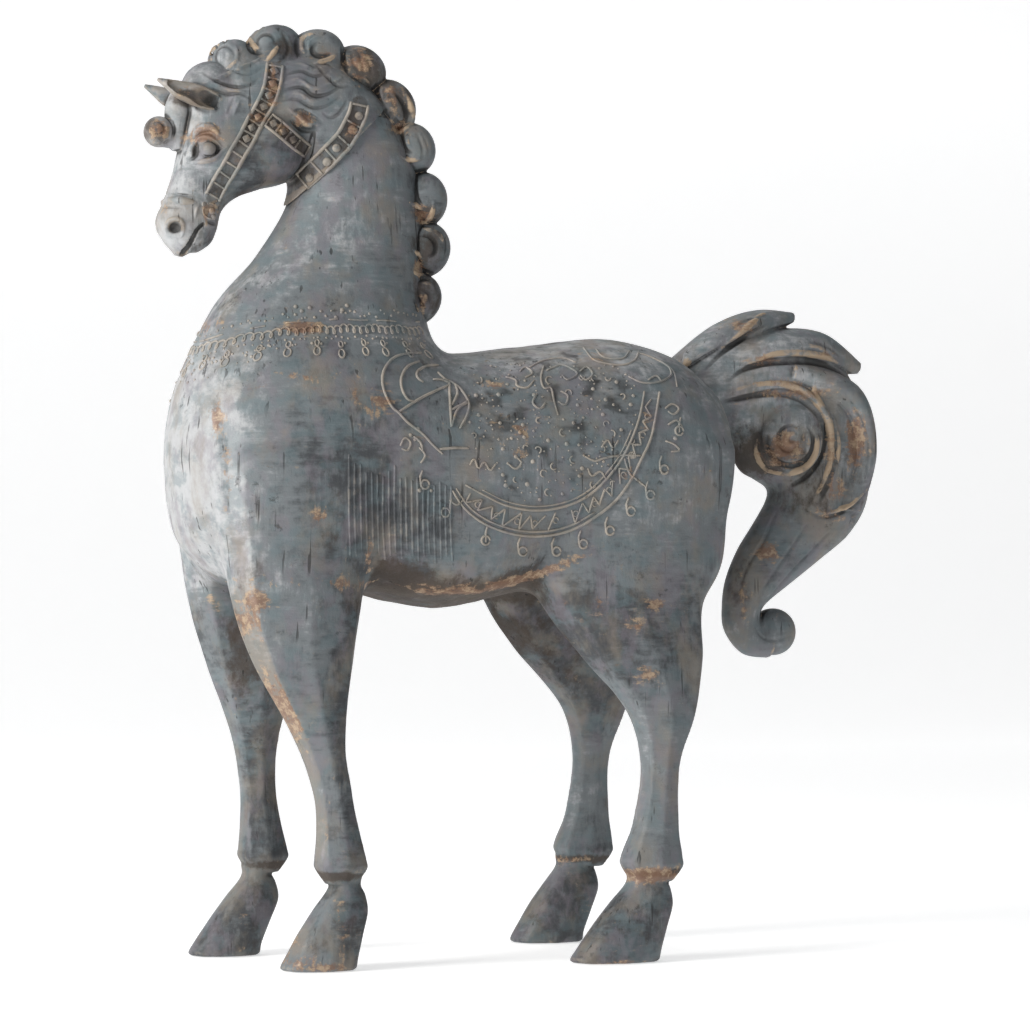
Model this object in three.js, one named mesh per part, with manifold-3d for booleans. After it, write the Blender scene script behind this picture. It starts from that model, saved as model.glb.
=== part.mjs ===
// Carved wooden horse statue, standing square on its four hooves with an arched neck, a scalloped mane of curls,
// a bridle, a collar and a plumed tail that ends in a curl. The whole horse is carved as one piece, so it is one solid.
// Units are millimetres. +Z is up, the horse faces -X, its left flank is on the -Y side, and the origin is on the
// ground under the middle of its bounding box.
import * as THREE from "three";
import { LoftGeometry } from "three/addons/geometries/LoftGeometry.js";
import { mergeVertices } from "three/addons/utils/BufferGeometryUtils.js";
import Module from "manifold-3d";

const wasm = await Module();
wasm.setup();

// ---------------------------------------------------------------- driving dimensions

// Half the distance between the left and right hooves.
const foreTrack = 62;
const hindTrack = 78;
// How far each foot stands behind (+) or ahead (-) of the middle of its pair.
const foreStride = 5;
const hindStride = -7;

const hoofHeight = 62;
const maneLobes = 10;
const maneHalfWidth = 27;
const reliefHeight = 2.2;
const cheekStrapWidth = 10;
const browStrapWidth = 8;
const neckStrapWidth = 11;
const collarWidth = 12;
const mouthGap = 2.4;

// ---------------------------------------------------------------- ribs and lofts

// A rib is one cross-section of a form. It stands on the line from a to b in the XZ plane, and is 2 * width across.
// y shifts it sideways, egg widens it towards b, and square is the exponent of its superellipse: 2 is an ellipse,
// and more is boxier.
function rib(ax, az, bx, bz, width, { y = 0, egg = 0, square = 2 } = {}) {
  return { ax, az, bx, bz, width, y, egg, square };
}

// The rib at t from 0 to 1, on a Catmull-Rom spline through the ribs.
function ribAt(ribs, t) {
  const at = (p, q) => new THREE.SplineCurve(ribs.map((r) => new THREE.Vector2(r[p], r[q]))).getPoint(t);
  const a = at("ax", "az");
  const b = at("bx", "bz");
  const side = at("width", "y");
  const form = at("egg", "square");
  return { ax: a.x, az: a.y, bx: b.x, bz: b.y, width: side.x, y: side.y, egg: form.x, square: form.y };
}

const power = (value, exponent) => Math.sign(value) * Math.abs(value) ** exponent;

// The points of one rib's outline, grown outwards by inflate.
function outline(r, around, inflate) {
  const half = new THREE.Vector3(r.bx - r.ax, 0, r.bz - r.az).multiplyScalar(0.5);
  const centre = new THREE.Vector3((r.ax + r.bx) / 2, r.y, (r.az + r.bz) / 2);
  half.setLength(half.length() + inflate);
  const points = [];
  for (let i = 0; i < around; i++) {
    const angle = (i / around) * 2 * Math.PI;
    const along = power(Math.cos(angle), 2 / r.square);
    const aside = power(Math.sin(angle), 2 / r.square);
    const side = (r.width * (1 + r.egg * along) + inflate) * aside;
    points.push(centre.clone().addScaledVector(half, along).setY(centre.y + side));
  }
  return points;
}

// Closes the end of a loft: rings that shrink to a point as they move out by depth along direction.
function dome(section, direction, depth) {
  const centre = new THREE.Vector3();
  section.forEach((p) => centre.addScaledVector(p, 1 / section.length));
  const steps = depth > 0 ? 3 : 1;
  const rings = [];
  for (let i = 1; i <= steps; i++) {
    const angle = (i / steps) * (Math.PI / 2);
    const size = i < steps ? Math.cos(angle) : 0;
    const shift = direction.clone().multiplyScalar(depth * Math.sin(angle));
    rings.push(section.map((p) => p.clone().sub(centre).multiplyScalar(size).add(centre).add(shift)));
  }
  return rings;
}

// The way out of a loft's end: at right angles to its last rib, away from the rib before it.
function outwards(end, inner) {
  const across = new THREE.Vector3(end.bx - end.ax, 0, end.bz - end.az).normalize();
  const normal = new THREE.Vector3(-across.z, 0, across.x);
  const away = new THREE.Vector3(end.ax + end.bx - inner.ax - inner.bx, 0, end.az + end.bz - inner.az - inner.bz);
  return normal.dot(away) < 0 ? normal.negate() : normal;
}

// A closed form skinned over ribs. start and end are the depths of its rounded ends, 0 for a flat one.
function loft({ ribs, along, around, start = 0, end = 0 }, inflate = 0) {
  const rows = [];
  for (let i = 0; i <= along; i++) rows.push(ribAt(ribs, i / along));
  const sections = rows.map((r) => outline(r, around, inflate));
  const first = dome(sections[0], outwards(rows[0], rows[1]), start + inflate);
  const last = dome(sections[along], outwards(rows[along], rows[along - 1]), end + inflate);
  return new LoftGeometry([...first.reverse(), ...sections, ...last]);
}

// An ellipsoid with its poles on the lateral axis. tilt turns it in the XZ plane, in radians, and a square over 2
// flattens its sides towards a disc.
function ball([x, y, z], [rx, ry, rz], { tilt = 0, around = 10, rings = 6, square = 2 } = {}) {
  const sections = [];
  for (let j = 0; j <= rings; j++) {
    const latitude = (j / rings) * Math.PI;
    const size = j % rings === 0 ? 0 : power(Math.sin(latitude), 2 / square);
    const height = -power(Math.cos(latitude), 2 / square);
    const section = [];
    for (let i = 0; i < around; i++) {
      const angle = (i / around) * 2 * Math.PI;
      section.push(
        new THREE.Vector3(rx * size * Math.cos(angle), ry * height, rz * size * Math.sin(angle))
          .applyAxisAngle(new THREE.Vector3(0, 1, 0), -tilt)
          .add(new THREE.Vector3(x, y, z)),
      );
    }
    sections.push(section);
  }
  return new LoftGeometry(sections);
}

// A ribbon of the given width along a line of [x, z] points, as a prism right through the horse from side to side.
function ribbon(points, width) {
  const reach = 130;
  const curve = new THREE.SplineCurve(points.map(([x, z]) => new THREE.Vector2(x, z)));
  const steps = points.length * 2;
  const left = [];
  const right = [];
  for (let i = 0; i <= steps; i++) {
    const p = curve.getPoint(i / steps);
    const n = curve.getTangent(i / steps).rotateAround(new THREE.Vector2(), Math.PI / 2);
    left.push(p.clone().addScaledVector(n, width / 2));
    right.push(p.clone().addScaledVector(n, -width / 2));
  }
  const shape = new THREE.Shape([...left, ...right.reverse()]);
  const geometry = new THREE.ExtrudeGeometry(shape, { depth: 2 * reach, bevelEnabled: false });
  return geometry.translate(0, 0, -reach).rotateX(Math.PI / 2);
}

// ---------------------------------------------------------------- solids

// A manifold solid from a closed geometry, whichever way its faces wind.
function solid(geometry) {
  const bare = new THREE.BufferGeometry();
  bare.setAttribute("position", geometry.getAttribute("position"));
  bare.setIndex(geometry.getIndex());
  const merged = mergeVertices(bare, 1e-3);
  const source = merged.index.array;
  const triVerts = [];
  for (let i = 0; i < source.length; i += 3) {
    const [a, b, c] = [source[i], source[i + 1], source[i + 2]];
    if (a !== b && b !== c && a !== c) triVerts.push(a, b, c);
  }
  const vertProperties = merged.attributes.position.array;
  const make = (order) =>
    new wasm.Manifold(new wasm.Mesh({ numProp: 3, vertProperties, triVerts: new Uint32Array(order) }));
  const made = make(triVerts);
  return made.volume() < 0 ? make(triVerts.reverse()) : made;
}

const join = (solids) => solids.reduce((all, next) => all.add(next));

// The same form on the left (-1) and on the right (1).
const bothSides = (make) => [make(-1), make(1)];

// ---------------------------------------------------------------- trunk, neck and head

// Each row is x, back, belly and half width.
const trunk = {
  ribs: [
    [-229, 386, 274, 44],
    [-205, 408, 252, 67],
    [-170, 418, 246, 79],
    [-120, 418, 244, 84],
    [-60, 409, 235, 85],
    [0, 411, 242, 84],
    [60, 418, 250, 85],
    [105, 411, 262, 80],
    [136, 391, 284, 58],
  ].map(([x, back, belly, width]) => rib(x, back, x, belly, width)),
  along: 12,
  around: 18,
  start: 13,
  end: 14,
};

// From the breast and withers up to the poll: throat side first, then crest side.
const neck = {
  ribs: [
    rib(-240, 330, -46, 350, 74),
    rib(-235, 385, -48, 393, 69),
    rib(-215, 432, -66, 426, 54),
    rib(-186, 467, -68, 466, 43),
    rib(-165, 500, -69, 504, 36),
    rib(-160, 522, -81, 546, 31),
    rib(-166, 536, -111, 581, 28),
    rib(-182, 545, -150, 601, 26),
    rib(-209, 548, -198, 596, 22),
  ],
  along: 15,
  around: 16,
  end: 8,
};

// From the poll down to the lips: face first, then jaw.
const head = {
  ribs: [
    rib(-209, 587, -144, 546, 20),
    rib(-228, 569, -155, 519, 25, { egg: 0.1 }),
    rib(-236, 543, -178, 508, 25, { egg: 0.15 }),
    rib(-240, 521, -197, 503, 19, { egg: 0.05 }),
    rib(-246, 503, -207, 495, 17),
    rib(-252, 488, -211, 482, 17),
    rib(-248, 476, -216, 471, 14),
    rib(-241, 468, -225, 465, 9),
  ],
  along: 12,
  around: 16,
  start: 8,
  end: 3,
};

const chin = ball([-218, 0, 482], [8, 11, 9], { around: 8 });
const eyes = bothSides((side) => ball([-217, side * 22, 538], [5, 5, 5], { around: 8, rings: 5 }));
const nostrils = bothSides((side) => ball([-242, side * 15, 484], [3, 5, 4], { tilt: 0.5, around: 8, rings: 4 }));
const mouth = ribbon([[-237, 458], [-229, 473], [-222, 487]], mouthGap);

const ears = bothSides((side) =>
  loft({
    ribs: [
      rib(-204, 570, -212, 550, 6, { y: side * 13 }),
      rib(-221, 577, -229, 556, 7, { y: side * 16 }),
      rib(-239, 578, -241, 566, 5, { y: side * 17 }),
      rib(-254, 578, -253, 575, 1.5, { y: side * 17 }),
    ],
    along: 5,
    around: 8,
  }),
);

// The forelock is a scroll that stands out from the forehead on a short stem.
const forelock = [
  ball([-251, 0, 547], [10, 11, 10]),
  loft({ ribs: [rib(-250, 556, -250, 538, 9), rib(-228, 564, -228, 532, 8)], along: 2, around: 8 }),
];

// ---------------------------------------------------------------- legs

// Each row is height, front x, back x, half width, and how far out it is, from the body (0) to the hoof's track (1).
const foreleg = [
  [330, -222, -114, 36, 0],
  [250, -218, -125, 32, 0.4],
  [200, -202, -135, 25, 0.65],
  [150, -179, -146, 18, 0.92],
  [115, -169, -145, 14, 1],
  [85, -167, -139, 15, 1],
  [70, -168, -135, 18, 1],
  [58, -165, -138, 16, 1],
];
const hindLeg = [
  [340, 10, 141, 42, 0],
  [270, -12, 137, 40, 0.2],
  [235, 3, 115, 33, 0.43],
  [200, 29, 111, 26, 0.67],
  [165, 60, 104, 19, 0.87],
  [130, 70, 94, 14, 1],
  [90, 64, 92, 15, 1],
  [70, 55, 95, 18, 1],
  [58, 57, 90, 16, 1],
];

// A leg whose foot stands off by stride; the shift fades out above the knee.
function leg(rows, { side, track, stride, bodyTrack }) {
  const ribs = rows.map(([z, front, back, width, out]) => {
    const shift = stride * THREE.MathUtils.smoothstep(out, 0.65, 0.9);
    const y = side * THREE.MathUtils.lerp(bodyTrack, track, out);
    return rib(front + shift, z, back + shift, z, width, { y, square: 2.3 });
  });
  return loft({ ribs, along: 10, around: 12 });
}

// A hoof stands on a flat sole and leans forward from the coronet, under a groove that sets off the fetlock.
function hoof({ front, back, toe, heel, y }) {
  const level = (ahead, behind, z, width) => rib(ahead, z, behind, z, width, { y, square: 2.4 });
  const ribs = [
    level(front + 2, back - 2, hoofHeight + 6, 15),
    level(front + 5, back - 4, hoofHeight - 4, 14),
    level(front - 1, back + 1, 46, 17),
    level((front + toe) / 2 - 2, (back + heel) / 2, 26, 19),
    level(toe + 3, heel + 1, 10, 21),
    level(toe, heel, 0, 20),
  ];
  return loft({ ribs, along: 6, around: 12 });
}

// Each pair of legs: side -1 stands off by stride one way, and side 1 the other way.
const legs = bothSides((side) => [
  leg(foreleg, { side, track: foreTrack, stride: -side * foreStride, bodyTrack: 40 }),
  leg(hindLeg, { side, track: hindTrack, stride: -side * hindStride, bodyTrack: 36 }),
]).flat();

const hooves = [
  hoof({ toe: -184, heel: -137, front: -155, back: -127, y: -foreTrack }),
  hoof({ toe: -210, heel: -161, front: -178, back: -151, y: foreTrack }),
  hoof({ toe: 13, heel: 71, front: 49, back: 84, y: -hindTrack }),
  hoof({ toe: 28, heel: 79, front: 62, back: 97, y: hindTrack }),
];

// ---------------------------------------------------------------- mane

// The line through the middles of the lobes, from the forelock to the withers.
const crest = new THREE.SplineCurve(
  [
    [-222, 577],
    [-197, 597],
    [-147, 606],
    [-95, 574],
    [-70, 511],
    [-71, 448],
  ].map(([x, z]) => new THREE.Vector2(x, z)),
);

// Each lobe is a thick disc across the crest, with a small curl on each side of it, towards the neck.
function maneLobe(i) {
  const u = i / (maneLobes - 1);
  const at = crest.getPointAt(u);
  const tilt = crest.getTangentAt(u).angle();
  const size = i === 0 ? [15, maneHalfWidth, 11] : [19, maneHalfWidth, 17];
  const lobe = ball([at.x, 0, at.y], size, { tilt, around: 9, rings: 4, square: 3.5 });
  if (i === 0) return [lobe];
  const curlAt = new THREE.Vector2(-6, -9).rotateAround(new THREE.Vector2(), tilt).add(at);
  const curls = bothSides((side) =>
    ball([curlAt.x, side * (maneHalfWidth - 2), curlAt.y], [9, 5, 8], { tilt, around: 7, rings: 3 }),
  );
  return [lobe, ...curls];
}

const mane = Array.from({ length: maneLobes }, (_, i) => maneLobe(i)).flat();

// ---------------------------------------------------------------- tail

// The tail rises from the croup, turns over and tapers down like a trunk. Its ribs run from the hollow of the bend
// to its outside.
const tail = loft({
  ribs: [
    rib(140, 360, 118, 405, 20),
    rib(152, 362, 138, 422, 22),
    rib(158, 352, 170, 432, 23),
    rib(164, 341, 204, 430, 23),
    rib(170, 331, 240, 412, 23),
    rib(179, 324, 262, 381, 23),
    rib(189, 316, 268, 346, 23),
    rib(188, 308, 266, 309, 21),
    rib(178, 292, 251, 286, 19),
    rib(166, 274, 230, 269, 17),
    rib(156, 254, 207, 250, 16),
    rib(153, 236, 187, 234, 14),
    rib(155, 218, 183, 227, 13),
    rib(170, 201, 184, 221, 13),
    rib(190, 198, 188, 218, 13),
  ],
  along: 20,
  around: 10,
});
const tailCurl = ball([193, 0, 215], [16, 14, 16], { around: 12, square: 2.5 });
const volute = ball([205, 0, 351], [25, 29, 25], { around: 14, square: 5 });

// Two plumes curl back over the top of the tail, and a third hugs its outside round the volute.
const plumes = [
  [rib(118, 396, 122, 410, 18), rib(150, 412, 150, 434, 20), rib(180, 420, 180, 443, 15), rib(209, 434, 209, 441, 4)],
  [rib(150, 392, 150, 410, 22), rib(185, 400, 187, 427, 25), rib(222, 398, 228, 428, 18), rib(259, 399, 261, 407, 4)],
  [rib(196, 384, 202, 410, 24), rib(238, 371, 256, 391, 28), rib(248, 340, 270, 345, 28), rib(226, 304, 259, 300, 24)],
].map((ribs) => loft({ ribs, along: 7, around: 8 }));

// ---------------------------------------------------------------- bridle and collar

// A raised band: the part of a slightly larger skin that a ribbon through the horse cuts out.
const band = (skin, line, width) => skin.intersect(solid(ribbon(line, width)));

const headSkin = solid(loft(head, reliefHeight));
const neckSkin = solid(loft(neck, reliefHeight));
const bands = [
  band(headSkin.add(neckSkin), [[-162, 592], [-186, 549], [-206, 515], [-216, 499], [-214, 486]], cheekStrapWidth),
  band(headSkin, [[-196, 566], [-170, 549], [-146, 534]], browStrapWidth),
  band(neckSkin, [[-104, 572], [-136, 536], [-160, 512]], neckStrapWidth),
  band(neckSkin, [[-262, 398], [-180, 420], [-20, 424]], collarWidth),
];

// ---------------------------------------------------------------- the horse

const forms = [
  ...[trunk, neck, head].map((form) => loft(form)),
  ...[chin, ...eyes, ...ears, ...forelock],
  ...[...legs, ...hooves],
  ...mane,
  ...[tail, tailCurl, volute, ...plumes],
];
const cuts = join([...nostrils, mouth].map(solid));
const horse = join([...forms.map(solid), ...bands]).subtract(cuts);

// The solid as a geometry, moved so that the middle of its box is over the origin.
function centred(made) {
  const mesh = made.getMesh();
  const geometry = new THREE.BufferGeometry();
  geometry.setAttribute("position", new THREE.BufferAttribute(new Float32Array(mesh.vertProperties), 3));
  geometry.setIndex(new THREE.BufferAttribute(new Uint32Array(mesh.triVerts), 1));
  geometry.computeBoundingBox();
  const middle = geometry.boundingBox.getCenter(new THREE.Vector3());
  return geometry.translate(-middle.x, -middle.y, 0);
}

const painted = new THREE.MeshStandardMaterial({ color: 0x66727a, roughness: 0.7, metalness: 0.1 });
const mesh = new THREE.Mesh(centred(horse), painted);
mesh.name = "horse";

const part = new THREE.Group();
part.add(mesh);

export default part;
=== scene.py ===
"""The looks of a carved and painted wooden horse: its sculpted body, head, mane and tail, the raised
lines of its bridle, collar and saddle cloth, and its rubbed old paint, with light and shade painted into it.

The forms are skinned over ribs, as in the part's own source. They become signed distance fields, so
that they join in soft fillets and take carved grooves, and each field is then skinned again as one
closed mesh. The sculpting is in millimetres, in the frame of the rib tables. +Z is up, the horse
faces -X, and its left flank is on the -Y side.
"""

import math

import bpy
import numpy as np
import openvdb
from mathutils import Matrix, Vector
from mathutils.bvhtree import BVHTree


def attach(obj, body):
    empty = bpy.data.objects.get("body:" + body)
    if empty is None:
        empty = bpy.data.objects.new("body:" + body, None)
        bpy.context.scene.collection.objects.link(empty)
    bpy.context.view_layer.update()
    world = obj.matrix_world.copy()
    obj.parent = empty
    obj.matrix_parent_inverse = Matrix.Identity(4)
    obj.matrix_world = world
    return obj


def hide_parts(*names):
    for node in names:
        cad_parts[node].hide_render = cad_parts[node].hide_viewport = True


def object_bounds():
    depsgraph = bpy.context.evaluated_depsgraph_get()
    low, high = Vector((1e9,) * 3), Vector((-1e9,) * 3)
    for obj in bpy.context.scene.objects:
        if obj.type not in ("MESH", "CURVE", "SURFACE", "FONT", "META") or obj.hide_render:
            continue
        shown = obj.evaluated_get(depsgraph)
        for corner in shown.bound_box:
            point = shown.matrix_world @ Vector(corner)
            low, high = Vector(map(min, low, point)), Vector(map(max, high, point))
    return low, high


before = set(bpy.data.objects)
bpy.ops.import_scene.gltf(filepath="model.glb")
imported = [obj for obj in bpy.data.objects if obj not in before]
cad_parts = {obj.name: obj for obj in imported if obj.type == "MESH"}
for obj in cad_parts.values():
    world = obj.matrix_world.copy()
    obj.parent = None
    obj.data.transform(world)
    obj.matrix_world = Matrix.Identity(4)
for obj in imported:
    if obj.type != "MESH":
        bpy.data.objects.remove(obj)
cad_low, cad_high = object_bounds()

MM = 0.001

# ------------------------------------------------------------------ driving dimensions, in millimetres

# The front of the forelock lies on the low X side of the part's box, which ties the rib tables to the frame.
FORELOCK_FRONT = -261.0
SHIFT_X = cad_low.x / MM - FORELOCK_FRONT

# How far each pair's feet stand off the middle plane. A stride is how far the pair's legs swing apart from
# their ribs' places, and the heights where the swing starts and is full.
FORE_TRACK = 62.0
HIND_TRACK = 78.0
FORE_STRIDE = (7.3, 210.0, 85.0)
HIND_STRIDE = (-7.0, 255.0, 120.0)

# The lines of the head and mane are drawn as seen from this point, on an upright plane beside the face or
# beside the hair and bridle, and are mirrored.
EYE = (-896.0, 2334.0, 232.0)
FACE_PLANE = 18.0
HAIR_PLANE = 26.0

# Rays that lay a raised line on the body or head start this far outside the plane that it is drawn on.
RAY_START = 40.0

# How deep a raised line sits in the wood, as a share of its half thickness.
CORD_SINK = 0.25

# How far a field reaches from its surface, the voxel size of each piece, and its most triangles.
REACH = 30.0
COARSE = 1.0
BODY_VOXEL = 1.5 * COARSE
HEAD_VOXEL = 0.75 * COARSE
MANE_VOXEL = 0.95 * COARSE
TAIL_VOXEL = 1.1 * COARSE
TRIANGLES = {"horse_body": 190000, "horse_head": 170000, "horse_mane": 150000, "horse_tail": 90000}


# ------------------------------------------------------------------ ribs and lofts


def rib(ax, az, bx, bz, width, y=0.0, egg=0.0, square=2.0, rear=None, facet=0.0):
    """One cross-section: it stands on the line from a to b in the XZ plane and is 2 * width across. egg
    widens it towards b, square is the exponent of its superellipse, rear is that of the half towards b, and
    facet is how far it is planed to flat facets."""
    return (ax, az, bx, bz, width, y, egg, square, square if rear is None else rear, facet)


def spline(rows, count):
    """count rows along a Catmull-Rom spline through the given rows."""
    rows = np.asarray(rows, float)
    last = len(rows) - 1
    at = np.linspace(0, last, count)
    i = np.minimum(at.astype(int), last - 1)
    t = (at - i)[:, None]
    p0, p1, p2, p3 = (rows[np.clip(i + k, 0, last)] for k in (-1, 0, 1, 2))
    v0, v1 = (p2 - p0) / 2, (p3 - p1) / 2
    return (2 * p1 - 2 * p2 + v0 + v1) * t**3 + (3 * p2 - 3 * p1 - 2 * v0 - v1) * t**2 + v0 * t + p1


def even(points, step):
    """Points about step apart along the smooth line through the given points."""
    fine = spline(points, 24 * len(points))
    length = np.concatenate([[0], np.cumsum(np.linalg.norm(np.diff(fine, axis=0), axis=1))])
    count = max(3, int(round(length[-1] / step)) + 1)
    at = np.linspace(0, length[-1], count)
    return np.stack([np.interp(at, length, fine[:, k]) for k in range(fine.shape[1])], 1)


def straight(points, step):
    """Points about step apart along straight lines from point to point."""
    points = np.asarray(points, float)
    length = np.concatenate([[0], np.cumsum(np.linalg.norm(np.diff(points, axis=0), axis=1))])
    count = max(2, int(round(length[-1] / step)) + 1)
    at = np.union1d(np.linspace(0, length[-1], count), length)
    return np.stack([np.interp(at, length, points[:, k]) for k in range(points.shape[1])], 1)


def power(value, exponent):
    """A signed power."""
    return np.sign(value) * np.abs(value) ** exponent


# The ridges between a planed section's facets, as angles round it, and its growth, which keeps its girth.
RIDGES = np.radians([0, 42, 90, 138, 180, 222, 270, 318, 360])
FACET_GROWTH = 1.035


def round_section(angle, square, rear):
    """Points round a section as shares of its half length and half width."""
    exponent = 2 / np.where(np.cos(angle) > 0, rear, square)
    return np.stack([power(np.cos(angle), exponent), power(np.sin(angle), exponent)])


def outline(row, around, inflate=0.0):
    """Points round one rib's section, grown by inflate."""
    ax, az, bx, bz, width, y, egg, square, rear, facet = row
    half = np.array([bx - ax, 0, bz - az]) / 2
    half *= 1 + inflate / np.linalg.norm(half)
    centre = np.array([(ax + bx) / 2, y, (az + bz) / 2])
    angle = np.linspace(0, 2 * math.pi, around, endpoint=False)
    curved = round_section(angle, square, rear)
    corners = round_section(RIDGES, square, rear) * FACET_GROWTH
    planed = np.stack([np.interp(angle, RIDGES, line) for line in corners])
    along, side = curved + facet * (planed - curved)
    side = (width * (1 + egg * along) + inflate) * side
    return centre + along[:, None] * half + side[:, None] * np.array([0.0, 1.0, 0.0])


def outwards(end, inner):
    """The direction square to an end section in the XZ plane, away from the section inside it."""
    across = np.array([end[2] - end[0], 0, end[3] - end[1]])
    normal = np.array([-across[2], 0, across[0]]) / np.linalg.norm(across)
    away = np.array([end[0] + end[2] - inner[0] - inner[2], 0, end[1] + end[3] - inner[1] - inner[3]])
    return -normal if normal @ away < 0 else normal


def dome(section, direction, depth, crisp=0.0):
    """Rings that shrink to a point as they move out by depth. crisp leaves an edge where the dome starts."""
    centre = section.mean(0)
    steps = 8 if depth > 0 else 1
    rings = []
    for i in range(1, steps + 1):
        share = i / steps
        angle = share * math.pi / 2
        size = crisp * (1 - share) + (1 - crisp) * math.cos(angle)
        lift = crisp * share + (1 - crisp) * math.sin(angle)
        rings.append((section - centre) * (size if i < steps else 0.0) + centre + direction * depth * lift)
    return rings


def skin(rings):
    """A closed mesh over rings of points: (points, triangles)."""
    around = len(rings[0])
    points = np.concatenate(rings)
    i, j = np.meshgrid(np.arange(len(rings) - 1), np.arange(around), indexing="ij")
    a, b = i * around + j, i * around + (j + 1) % around
    c, d = b + around, a + around
    triangles = np.stack([a, b, c, a, c, d], -1).reshape(-1, 3)
    corners = points[triangles]
    area = np.linalg.norm(np.cross(corners[:, 1] - corners[:, 0], corners[:, 2] - corners[:, 0]), axis=1)
    return points, triangles[area > 1e-9]


def loft(ribs, along, around, start=0.0, end=0.0, inflate=0.0, crisp=0.0):
    """A closed mesh over ribs: along sections of around points, and domes that are start and end deep."""
    rows = spline(ribs, along)
    sections = [outline(r, around, inflate) for r in rows]
    first = dome(sections[0], outwards(rows[0], rows[1]), start + inflate, crisp)
    last = dome(sections[-1], outwards(rows[-1], rows[-2]), end + inflate, crisp)
    return skin([*first[::-1], *sections, *last])


def ball(centre, radii, tilt=0.0, square=2.0, around=40, rings=24):
    """An ellipsoid with its poles on the lateral axis, turned by tilt in the XZ plane. A square over 2
    flattens its sides towards a disc."""
    sections = []
    angle = np.linspace(0, 2 * math.pi, around, endpoint=False)
    for j in range(rings + 1):
        latitude = j / rings * math.pi
        size = 0.0 if j % rings == 0 else math.sin(latitude) ** (2 / square)
        height = -power(math.cos(latitude), 2 / square)
        x, z = radii[0] * size * np.cos(angle), radii[2] * size * np.sin(angle)
        turned_x = x * math.cos(tilt) - z * math.sin(tilt)
        turned_z = x * math.sin(tilt) + z * math.cos(tilt)
        sections.append(np.stack([turned_x, np.full(around, radii[1] * height), turned_z], 1) + centre)
    return skin(sections)


# ------------------------------------------------------------------ signed distance fields


def smoothstep(value, low, high):
    """0 up to low, 1 from high on, and a smooth rise between them."""
    t = np.clip((value - low) / (high - low), 0, 1)
    return t * t * (3 - 2 * t)


def smooth_min(a, b, k):
    """The lower of two distances, blended where they are less than k apart."""
    if np.all(np.asarray(k) <= 0):
        return np.minimum(a, b)
    h = np.clip(0.5 + 0.5 * (b - a) / k, 0, 1)
    return b + (a - b) * h - k * h * (1 - h)


def trilinear(share, corner):
    """Values inside grid cells, blended from those that corner gives for each of a cell's eight corners."""
    total = np.zeros(len(share))
    for dx, dy, dz in np.ndindex(2, 2, 2):
        weight = abs(1 - dx - share[:, 0]) * abs(1 - dy - share[:, 1]) * abs(1 - dz - share[:, 2])
        total += weight * corner(dx, dy, dz)
    return total


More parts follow.
